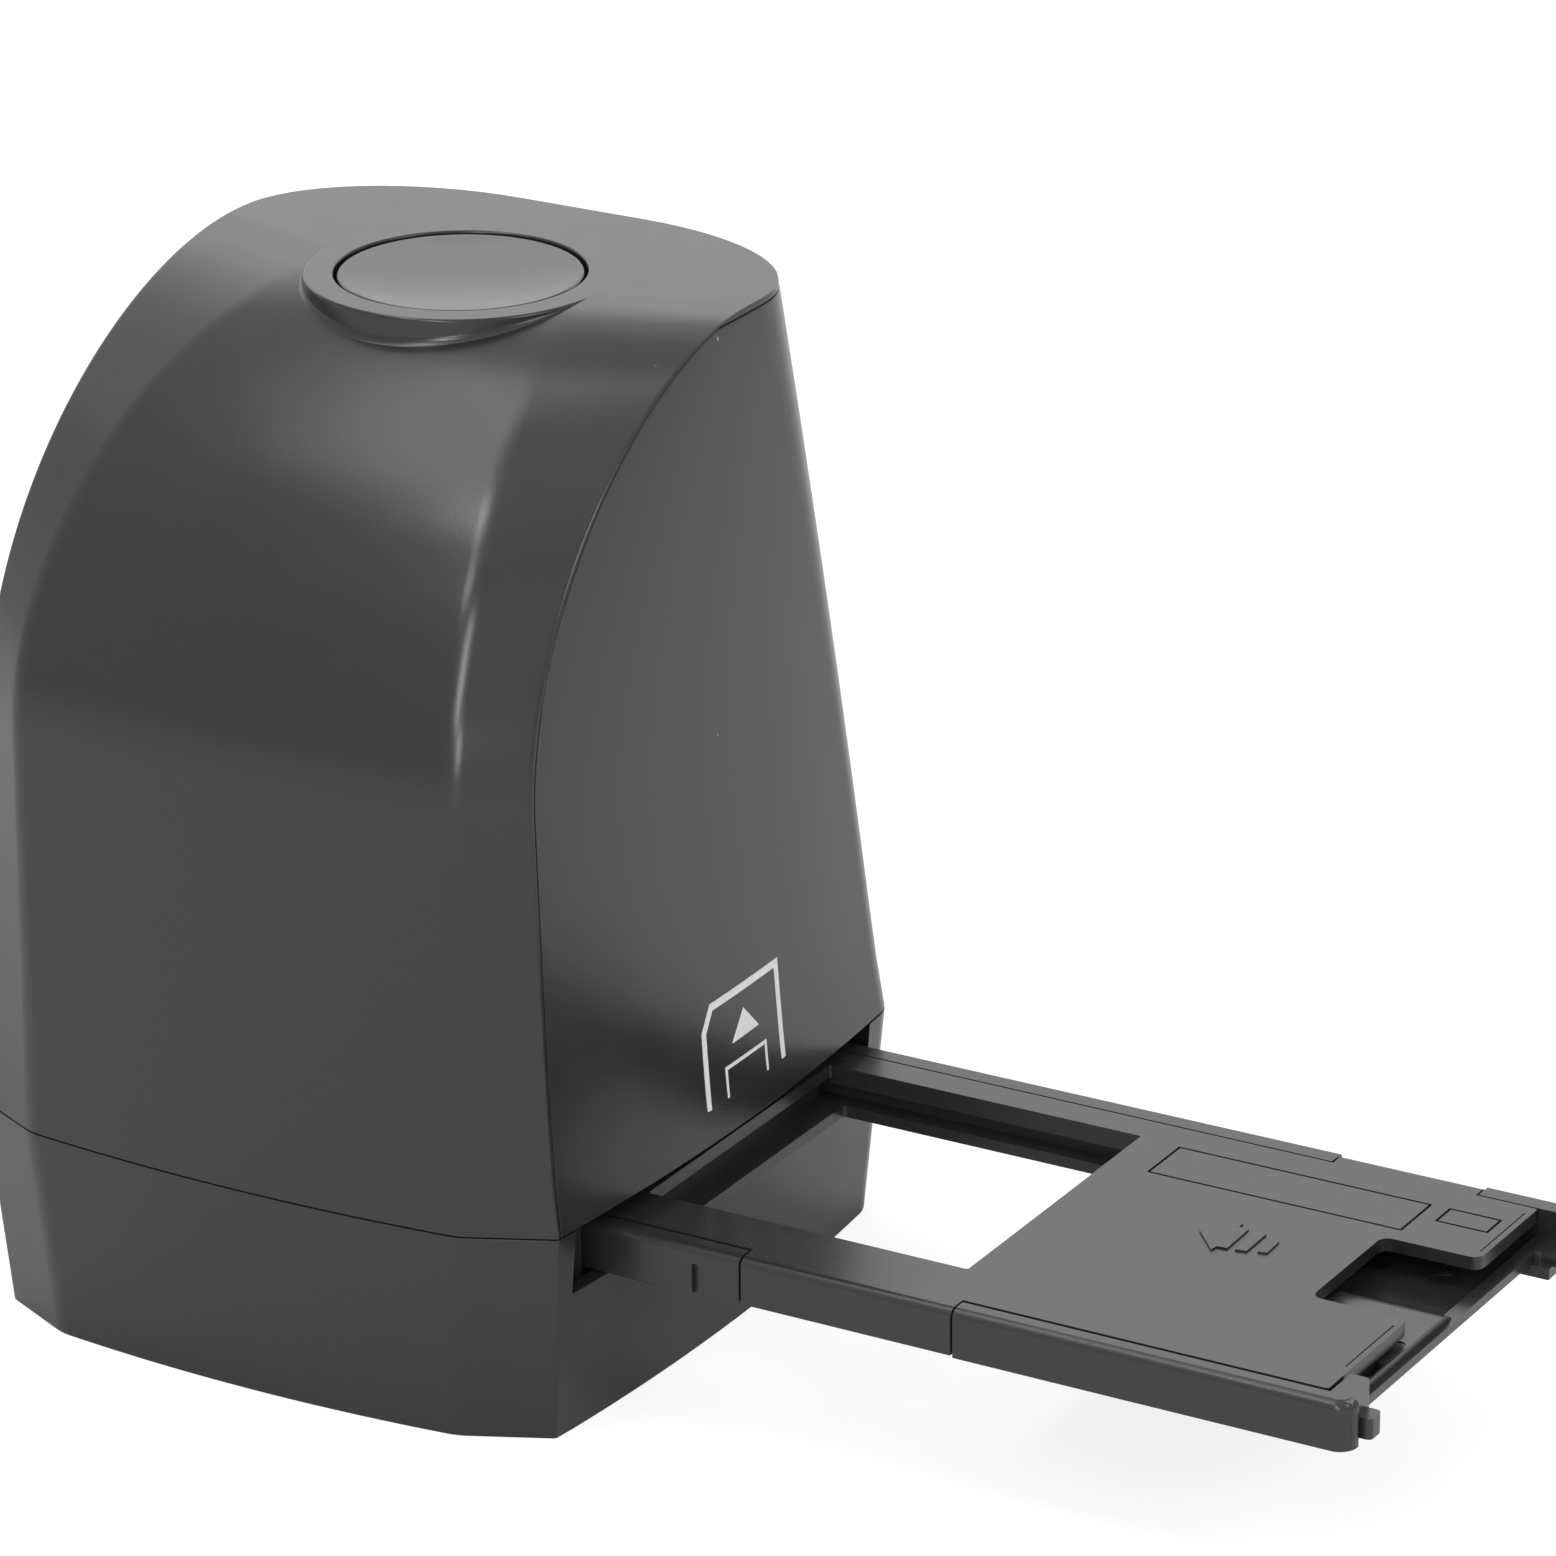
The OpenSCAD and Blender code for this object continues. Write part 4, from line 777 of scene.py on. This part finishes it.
def makeBaseShell():
    high = seamZ - tower["seamGap"] / 2

    def ring(z, inset):
        plan = planAt(z, inset)
        return frontColumns(plan) + rearColumns(plan)[1:]

    rings = [ring(base["rim"], base["rimRoom"]), ring(0, base["rimRoom"])]
    rings += [ring(z, 0) for z in base["levels"] + (high,)]
    rings += [ring(high, tower["wall"]), ring(base["deck"], tower["wall"])]
    bm = loft(rings)
    rims = [edge for edge in sharpEdges(bm, 50) if not tiny <= edge.verts[0].co.z <= high - tiny]
    roundOff(bm, rims, tower["seamRound"], 2)
    shell = asObject(bm, "base_shell_cup")

    screwX, headZ = halfWidth - base["screwIn"], base["headZ"]
    screws = [(side * screwX, y) for side in (-1, 1)
              for y in (frameLow.y - base["screwFront"], frameHigh.y + base["screwRear"])]
    feet = [(side * (halfWidth - base["footIn"]), y) for side in (-1, 1)
            for y in (frontY + base["footFront"], rearY - base["footRear"])]
    low = base["columnLow"]
    combineRods(shell, "UNION", [(base["column"], (x, y, low), (x, y, high)) for x, y in screws])
    cuts = []
    for x, y in screws:
        cuts += [(base["well"], (x, y, -mm), (x, y, headZ)),
                 (base["shank"], (x, y, headZ - mm), (x, y, seamZ + mm), 24)]
    cuts += [(base["foot"], (x, y, -mm), (x, y, base["rim"]), 48) for x, y in feet]
    combineRods(shell, "DIFFERENCE", cuts, True)

    bm = bmesh.new()
    for side in (-1, 1):
        left, right = sorted((side * mouth["innerX"], side * mouth["outerX"]))
        addBox(bm, (left, frameLow.y - mouth["front"], frameLow.z - mouth["below"]),
               (right, frameHigh.y + mouth["rear"], seamZ + mm))
    combine(shell, bm, "DIFFERENCE")
    with edited(shell) as bm:
        roundOff(bm, [edge for edge in sharpEdges(bm, 50) if onMouth(edge)], mouth["round"], 2)
    finishPiece(shell, "tower", "housing", "base_shell")


# scan button: a dished cap with a skirt, a flange that holds it under the collar's guide, and a stem
cap = millimetres(dish=1.0, soft=0.45, skirt=4.1, flange=0.7, flangeHigh=0.8, wall=1.4, roof=1.6, stem=3,
                  stemSoft=0.3)


def makeScanButton():
    capLow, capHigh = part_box("scan_button")
    radius, dish, soft, stem = button["capRadius"], cap["dish"], cap["soft"], cap["stem"]
    top, low, skirt = capHigh.z, capLow.z, topZ - cap["skirt"]
    bowl = ((radius - soft) ** 2 + dish ** 2) / (2 * dish)
    reach = math.degrees(math.asin((radius - soft) / bowl))
    profile = arc((0, top - dish + bowl), bowl, -90, reach - 90, 24)
    profile[-1] = (radius - soft, top)
    profile += arc((radius - soft, top - soft), soft, 90, 0, 5)[1:]
    wide, inside, roof = radius + cap["flange"], radius - cap["wall"], skirt + cap["roof"]
    profile += [(radius, skirt + cap["flangeHigh"]), (wide, skirt + cap["flangeHigh"]), (wide, skirt),
                (inside, skirt), (inside, roof), (stem, roof), (stem, low + cap["stemSoft"]),
                (stem - cap["stemSoft"], low), (0, low)]
    solid = spun(profile, (0, button["centreY"]), 128)
    finishPiece(asObject(solid, "scan_button_cap"), "button", "housing", "scan_button")


# the return spring under the cap
spring = {"wire": 0.35 * mm, "turns": 2.5, "steps": 90, "sides": 12, "pressed": 0.82}


def makeReturnSpring():
    low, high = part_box("button_spring")
    wire, centreY = spring["wire"], button["centreY"]
    coil = (high.x - low.x) / 2 - wire
    climb = (high.z - low.z - 2 * wire) / spring["steps"]
    bm = bmesh.new()
    place = Matrix.Translation((coil, centreY, low.z + wire)) @ Matrix.Rotation(math.pi / 2, 4, "X")
    bmesh.ops.create_circle(bm, cap_ends=False, segments=spring["sides"], radius=wire, matrix=place)
    bmesh.ops.spin(bm, geom=bm.verts[:] + bm.edges[:], cent=(0, centreY, 0), axis=(0, 0, 1),
                   dvec=(0, 0, climb), angle=2 * math.pi * spring["turns"], steps=spring["steps"],
                   use_merge=False)
    closeUp(bm, halves=False)
    coiled = asObject(bm, "return_spring")
    finishPiece(coiled, "tower", "spring_steel", "button_spring", smooth=60, weighted=False)
    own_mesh(coiled)


# slide holder: sizes that its frame and its lid share
holder = millimetres(tab=2.9, side=2.7, hingeSide=0.2, lid=1.8, gap=0.3, soft=0.16, shoulder=1.25,
                     latch=(-3.3, 27.4), skirt=1.5, knuckle=(48.7, 20.3), knuckleRound=1.5, pin=0.6,
                     notch=(13.5, 20.2, 0.9))
lidLow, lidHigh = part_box("tray_lid")
endX = (frameLow.x + holder["tab"], frameHigh.x - holder["tab"])
centreX = (endX[0] + endX[1]) / 2
lidZ = lidHigh.z - holder["lid"]
x0, x1, y0, y1, z0, z1 = *endX, frameLow.y, frameHigh.y, frameLow.z, frameHigh.z
hingeY, hingeZ = y1 - holder["knuckleRound"], z1 - holder["knuckleRound"]
latchX = [centreX + place for place in holder["latch"]]
notchDeep, notchWide, notchY = holder["notch"]


def bothEnds(bm, add):
    # makes something at the pulled-out end and its mirror image at the other
    before = set(bm.verts)
    add(bm)
    made = [vert for vert in bm.verts if vert not in before]
    geom = made + list({part for vert in made for part in [*vert.link_edges, *vert.link_faces]})
    copy = bmesh.ops.duplicate(bm, geom=geom)["geom"]
    for vert in (part for part in copy if isinstance(part, bmesh.types.BMVert)):
        vert.co.x = 2 * centreX - vert.co.x
    bmesh.ops.reverse_faces(bm, faces=[part for part in copy if isinstance(part, bmesh.types.BMFace)])


def knuckleSpans(room):
    # where the two hinge knuckles start and end along x
    start, length = holder["knuckle"]
    middles = [centreX + side * (start + length / 2) for side in (-1, 1)]
    return [(middle - length / 2 - room, middle + length / 2 + room) for middle in middles]


def hingeRods(radius, room, sides):
    return [(radius, (start, hingeY, hingeZ), (end, hingeY, hingeZ), sides)
            for start, end in knuckleSpans(room)]


def windowLoop(wide, deep, corner):
    return roundedLoop(*((centreX + right * wide / 2, back * deep / 2, corner)
                         for right, back in ((-1, -1), (1, -1), (1, 1), (-1, 1))))


# frame of the holder; catch is thickness, and its ridge from the ends, low and high; detent is left, right,
# depth and height; an ejector mark is x, y, radius and height
tray = millimetres(floor=1.6, endRound=2.5, hingeRound=0.5, barrel=1.35, pocket=50.6, bar=2.0, latchRoom=0.6,
                   catch=(1.2, 10, 2, 3), ridgeBack=0.2, window=(41.4, 44.9, 0.6),
                   detent=(-10.15, -9.05, 0.7, 4.3), slit=((144.5, -21.4), (145.8, -17.4)), slitLow=2.0,
                   ejectors=((144.7, -11.6, 1.0, 24.4), (139.5, 12.5, 2.2, 21.9)), ejectorDeep=0.12,
                   shortest=2.2, wallTop=0.1)
# both ends of the frame; tab, corner and hook are low and high, then an outline of places out from the end
# and in from one side, with radii
trayEnd = millimetres(cut=4.3, cutRear=9, ledgeIn=4.5, ledgeDrop=0.6, scoop=(6, 11, 9), scoopEnd=3.6,
                      nose=(0.3, 0.9, 1.6), lip=((0.4, 1.6), (2, 7.5), (1.5, 2.8)),
                      tab=((1.2, 2.9), ((-4.7, 10, 0), (-2.7, 10, 0), (-2.7, 7.4, 1.0), (2.9, 7.4, 1.4),
                                        (2.9, 0, 0.8), (-4.7, 0, 0))),
                      corner=((0.4, 6.45), ((-4.1, 1.2, 0), (-0.3, 1.2, 0), (-1.3, 8.6, 1.0),
                                            (-4.1, 8.6, 0.3))),
                      hook=((0.9, 3.7), ((-3.0, 3.4, 0), (1.3, 3.4, 0.8), (1.3, 6.4, 0.8), (-3.0, 6.4, 0))))
floorZ = z0 + tray["floor"]
wallZ = lidZ - tray["wallTop"]


def trayBlock():
    bm = bmesh.new()
    addBox(bm, (x0, y0, z0), (x1, y1, z1))
    roundOff(bm, [edge for edge in edgesAlong(bm, 2) if edge.verts[0].co.y < 0], tray["endRound"], 10)
    roundOff(bm, [edge for edge in edgesAlong(bm, 2) if edge.verts[0].co.y > 0], tray["hingeRound"])
    roundOff(bm, edgesWhere(bm, lambda co: co.z > z1 - tiny and co.y < y0 + tray["endRound"] + tiny),
             holder["shoulder"], 6)
    roundOff(bm, edgesWhere(bm, lambda co: co.z > z1 - tiny and co.y > y1 - tray["hingeRound"] - tiny),
             tray["barrel"], 6)
    roundOff(bm, edgesWhere(bm, lambda co: co.z < z0 + tiny), holder["soft"], 2)
    return asObject(bm, "tray_frame_body")


def hollowTray(body):
    # room for the lid, its latch and its knuckles, and the open ends
    side, latchY, above = holder["side"], y0 + holder["skirt"] + tray["latchRoom"], z1 + mm
    bm = bmesh.new()
    addBox(bm, (x0 - mm, y0 + side, floorZ), (x1 + mm, y1 - side - holder["hingeSide"], above))
    addBox(bm, (latchX[0], y0 - mm, floorZ), (latchX[1], y0 + side + mm, above))
    addBox(bm, (latchX[0], y0 - mm, z0 - mm), (latchX[1], latchY, above + mm))
    bothEnds(bm, lambda mesh: addBox(mesh, (x1 - trayEnd["cut"], y0 + side, z0 - mm),
                                     (x1 + mm, y1 - trayEnd["cutRear"], above)))
    low = hingeZ - holder["knuckleRound"] - holder["gap"]
    for start, end in knuckleSpans(holder["gap"]):
        addBox(bm, (start, y1 - side - mm, low), (end, y1 + mm, above))
    combine(body, bm, "DIFFERENCE", True)


def addTrayEnd(bm):
    # the scooped ledge with its nose, the lip, the tab on the hinge side, the turned-in corner and the hook
    cut, top = x1 - trayEnd["cut"], wallZ - trayEnd["ledgeDrop"]
    first, second, third = (notchY - notchWide / 2 + place for place in trayEnd["scoop"])
    last = notchY + trayEnd["scoopEnd"]
    curve = [Vector(point) for point in ((first, top), (second, top), (third, floorZ), (last, floorZ))]
    scoop = [blend(bezier(*curve[:3], u), bezier(*curve[1:], u), u) for u in shares(14)]
    back, out, noseLow = trayEnd["nose"]
    start, edge = x1 - trayEnd["ledgeIn"] - notchDeep, y0 + holder["side"] - mm
    for low, left, right in ((z0 + tiny, start, cut), (z0 + noseLow, cut - back, cut + out)):
        addPrism(bm, scoop + [(last, low), (edge, low), (edge, top)], left, right, "x")
    (back, out), (near, far), (low, high) = trayEnd["lip"]
    addBox(bm, (cut - back, y0 + near, z0 + low), (cut + out, y1 - far, z0 + high))
    for part, flankY, way in (("tab", y1, -1), ("corner", y0, 1), ("hook", y0, 1)):
        (low, high), outline = trayEnd[part]
        corners = [(x1 + out, flankY + way * inwards, radius) for out, inwards, radius in outline]
        addPrism(bm, roundedLoop(*corners), z0 + low, z0 + high)


def addTrayWalls(body):
    # walls round the pocket, the wall behind the latch with its catch, and both ends
    low, half, outer = z0 + tiny, tray["pocket"] / 2, tray["pocket"] / 2 + tray["bar"]
    bm = bmesh.new()
    for side in (-1, 1):
        near, far = sorted((side * half, side * outer))
        addBox(bm, (centreX + near, -outer, low), (centreX + far, outer, wallZ))
        addBox(bm, (centreX - half - mm, near, low), (centreX + half + mm, far, wallZ))
    back = y0 + holder["skirt"] + tray["latchRoom"]
    thick, ridgeIn, ridgeLow, ridgeHigh = tray["catch"]
    addBox(bm, (latchX[0], back, low), (latchX[1], back + thick, wallZ))
    addBox(bm, (latchX[0] + ridgeIn, back - tray["ridgeBack"], z0 + ridgeLow),
           (latchX[1] - ridgeIn, back + mm, z0 + ridgeHigh))
    bothEnds(bm, addTrayEnd)
    combine(body, bm, "UNION", True)


def makeTrayFrame():
    body = trayBlock()
    hollowTray(body)
    addTrayWalls(body)

    # window, notch for the detent spring, slit in the corner, ejector marks and bores for the hinge pins
    bm = bmesh.new()
    addPrism(bm, windowLoop(*tray["window"]), z0 - mm, floorZ + mm)
    left, right, deep, high = tray["detent"]
    addBox(bm, (centreX + left, y0 - mm, z0 - mm), (centreX + right, y0 + deep, z0 + high))
    addBox(bm, (*tray["slit"][0], z0 + tray["slitLow"]), (*tray["slit"][1], z1))
    for x, y, radius, z in tray["ejectors"]:
        addRod(bm, radius, (x, y, z - tray["ejectorDeep"]), (x, y, z + 0.5 * mm), 40)
    for rod in hingeRods(holder["pin"], 3 * mm, 20):
        addRod(bm, *rod)
    combine(body, bm, "DIFFERENCE", True)
    soften(body, holder["soft"], tray["shortest"])
    finishPiece(body, "holder", "holder_plastic", "tray_frame")


# lid of the holder; label and sign are left, front, right and rear of an engraved frame, the arrow is raised
lid = millimetres(frontGap=0.55, soft=0.5, notchRound=1.7, window=(46.6, 46.6, 0.4), rib=(1.0, 0.8, 0.2),
                  edgeRound=0.192, shortest=0.2, boreRoom=0.06, groove=0.38, grooveDeep=0.45,
                  label=(96.6, 13.9, 132.6, 22.6), sign=(135.3, 18.6, 142.4, 22.7), scribed=(1.0, 0.75, 0.12),
                  scribedFront=(-24.9, -11.7), scribedRearIn=2, arrowSunk=0.5, arrowHigh=0.24,
                  arrow=(((110.7, 0.9), (114.6, -3.5), (114.8, -2.3), (116.2, -2.2), (116.0, 4.2),
                          (114.6, 4.2), (114.6, 5.4)),
                         ((117.2, -2.0), (118.7, -1.7), (118.6, 4.0), (117.3, 3.7)),
                         ((120.0, -1.2), (121.2, -0.9), (121.0, 2.9), (119.9, 2.6))))
lidFront = lidLow.y + holder["side"] + lid["frontGap"]
lidRear = lidHigh.y - holder["side"] - holder["hingeSide"] - holder["gap"]


def lidPlate():
    # a plate with a notch for the thumb at each end and the window in the middle
    low, high, inner = notchY - notchWide / 2, notchY + notchWide / 2, lidHigh.x - notchDeep
    soft, deep = lid["soft"], lid["notchRound"]
    right = [(lidHigh.x, lidFront, soft), (lidHigh.x, low, deep), (inner, low, deep), (inner, high, deep),
             (lidHigh.x, high, deep), (lidHigh.x, lidRear, soft)]
    left = [(lidLow.x + lidHigh.x - x, y, radius) for x, y, radius in reversed(right)]
    bm = bmesh.new()
    addPrism(bm, roundedLoop(*right, *left), lidZ, lidHigh.z)
    plate = asObject(bm, "tray_lid_plate")
    bm = bmesh.new()
    addPrism(bm, windowLoop(*lid["window"]), lidZ - mm, lidHigh.z + mm)
    combine(plate, bm, "DIFFERENCE")
    return plate


def addLidEdges(plate):
    # latch skirt, ribs over the slide, and the knuckles with their bores
    top, front, shoulder = lidHigh.z, lidLow.y, holder["shoulder"]
    inside, join = front + holder["skirt"], lidFront + mm
    bm = bmesh.new()
    skirt = arc((front + shoulder, top - shoulder), shoulder, 180, 90, 7)
    addPrism(bm, skirt + [(join, top), (join, lidZ), (inside, lidZ), (inside, lidLow.z), (front, lidLow.z)],
             latchX[0] + holder["gap"], latchX[1] - holder["gap"], "x")
    half, (thick, down, up) = lid["window"][0] / 2, lid["rib"]
    for side in (-1, 1):
        near, far = sorted((side * half, side * (half + thick)))
        addBox(bm, (centreX - half, near, lidZ - down), (centreX + half, far, lidZ + up))
    radius, join = holder["knuckleRound"], lidRear - mm
    turn = 360 - math.degrees(math.acos((lidZ - hingeZ) / radius))
    barrel = arc((hingeY, hingeZ), radius, 90, 90 - turn, 20)
    barrel[-1] = (barrel[-1][0], lidZ)
    for start, end in knuckleSpans(0):
        addPrism(bm, [(join, top)] + barrel + [(join, lidZ)], start, end, "x")
    combine(plate, bm, "UNION", True)
    soften(plate, lid["edgeRound"], lid["shortest"])
    combineRods(plate, "DIFFERENCE", hingeRods(holder["pin"] + lid["boreRoom"], mm, 24))


def engraveLid(plate):
    # frames of the label and the sign, and fine lines along the end
    low, high, half = lidHigh.z - lid["grooveDeep"], lidHigh.z + mm, lid["groove"] / 2
    bm = bmesh.new()
    for left, front, right, rear in (lid["label"], lid["sign"]):
        for y in (front, rear):
            addBox(bm, (left - half, y - half, low), (right + half, y + half, high))
        for x in (left, right):
            addBox(bm, (x - half, front - half, low), (x + half, rear + half, high))
    near, far, deep = lid["scribed"]
    rearLine = (notchY + notchWide / 2 + lid["scribedRearIn"], lidRear - lid["scribedRearIn"])
    for start, end in (lid["scribedFront"], rearLine):
        addBox(bm, (lidHigh.x - near, start, lidHigh.z - deep), (lidHigh.x - far, end, high))
    combine(plate, bm, "DIFFERENCE", True)


def makeTrayLid():
    plate = lidPlate()
    addLidEdges(plate)
    engraveLid(plate)
    bm = bmesh.new()
    for outline in lid["arrow"]:
        addPrism(bm, outline, lidHigh.z - lid["arrowSunk"], lidHigh.z + lid["arrowHigh"])
    combine(plate, bm, "UNION")
    finishPiece(plate, "holder_lid", "holder_plastic", "tray_lid")


# printed mark on the right side: y and z of its lines and its arrow
mark = millimetres(line=1.05, thin=0.5, lift=0.02, thick=0.06,
                   border=((-10.7, 33.7), (-10.7, 44.3), (-8.6, 47.3), (8.3, 47.3), (8.6, 33.9)),
                   arrow=((-4.0, 40.6), (2.9, 40.7), (-0.7, 44.4)),
                   slide=((-5.9, 33.8), (-5.9, 37.8), (4.3, 37.8), (4.3, 33.8)))


def addStroke(bm, points, width):
    # a line of even width through the points, mitred at its corners
    points = [Vector(point) for point in points]
    left, right = [], []
    for i, point in enumerate(points):
        ways = [(points[j + 1] - points[j]).normalized() for j in (i - 1, i) if 0 <= j < len(points) - 1]
        across = [Vector((-way.y, way.x)) for way in ways]
        middle = sum(across, Vector((0, 0))).normalized()
        reach = width / 2 / max(0.5, middle.dot(across[0]))
        left.append(point + middle * reach)
        right.append(point - middle * reach)
    rails = [[bm.verts.new((0, point.x, point.y)) for point in side] for side in (left, right)]
    edges = [bm.edges.new(pair) for rail in rails for pair in zip(rail, rail[1:])]
    bmesh.ops.bridge_loops(bm, edges=edges)


def makeMark():
    bm = bmesh.new()
    addStroke(bm, mark["border"], mark["line"])
    addStroke(bm, mark["slide"], mark["thin"])
    arrow = bm.faces.new([bm.verts.new((0, y, z)) for y, z in mark["arrow"]])
    bmesh.ops.triangulate(bm, faces=[arrow])
    bmesh.ops.subdivide_edges(bm, edges=bm.edges[:], cuts=5, use_grid_fill=True)
    for vert in bm.verts:
        vert.co.x = sideSurface(vert.co.y, vert.co.z) + mark["lift"]
    bmesh.ops.recalc_face_normals(bm, faces=bm.faces)
    for face in bm.faces:
        if face.normal.x < 0:
            face.normal_flip()
    bmesh.ops.solidify(bm, geom=bm.faces[:], thickness=-mark["thick"])
    bmesh.ops.recalc_face_normals(bm, faces=bm.faces)
    finishPiece(asObject(bm, "side_mark"), "tower", "print_white", "insertion_mark", weighted=False)


def makeStage():
    # the camera, and rays through glass, see a white floor and world; mirrored they are a little darker
    floor = Finish("floor", Specular_IOR_Level=0.0, Roughness=1.0, Emission_Strength=1.0)
    camera, mirrored, through = floor.raysFrom("Camera", "Glossy", "Transmission")
    seen = camera + through
    glow = floor.mix(mirrored, 0.0, studio["floorMirrored"])
    bm = bmesh.new()
    bmesh.ops.create_grid(bm, x_segments=1, y_segments=1, size=studio["floorSize"] / 2)
    plane = asObject(bm, "floor")
    plane.data.materials.append(floor.feed(
        Base_Color=floor.mix(seen, studio["floorColour"], studio["floorShade"]),
        Emission_Color=floor.mix(seen, glow, studio["floorShown"])))

    world = bpy.data.worlds.new("studio")
    scene.world = world
    world.use_nodes = True
    nodes = Nodes(world.node_tree)
    camera, mirrored, through = nodes.raysFrom("Camera", "Glossy", "Transmission")
    soft, shown, reflected = (studio["world" + way] for way in ("Soft", "Shown", "Mirrored"))
    level = (camera + through) * (shown - soft) + mirrored * (reflected - soft) + soft
    back = nodes.tree.nodes["Background"]
    nodes.put((1, 1, 1, 1), back.inputs["Color"])
    nodes.put(level, back.inputs["Strength"])
    for name, sizes in studio["boxes"].items():
        makeBoxLight(name + "_softbox", *sizes)


def dressNodes():
    # the parts that keep their own solids get the finish of their slot
    for node in frame["nodes"].values():
        names = [place.material.name.split(".")[0] for place in node.material_slots if place.material]
        wanted = next((name for name in names if name in finishes), None)
        for place in node.material_slots if wanted else []:
            place.material = finishes[wanted]


makeCamera()
makeStage()
print("stage ready")
makeBaseShell()
makeBodyShell()
makeFrontCover()
makeCollarFoot()
makeScanButton()
makeReturnSpring()
makeMark()
print("tower ready")
makeTrayFrame()
makeTrayLid()
print("holder ready")
dressNodes()

scene.view_settings.view_transform = "Standard"
bpy.context.view_layer.update()
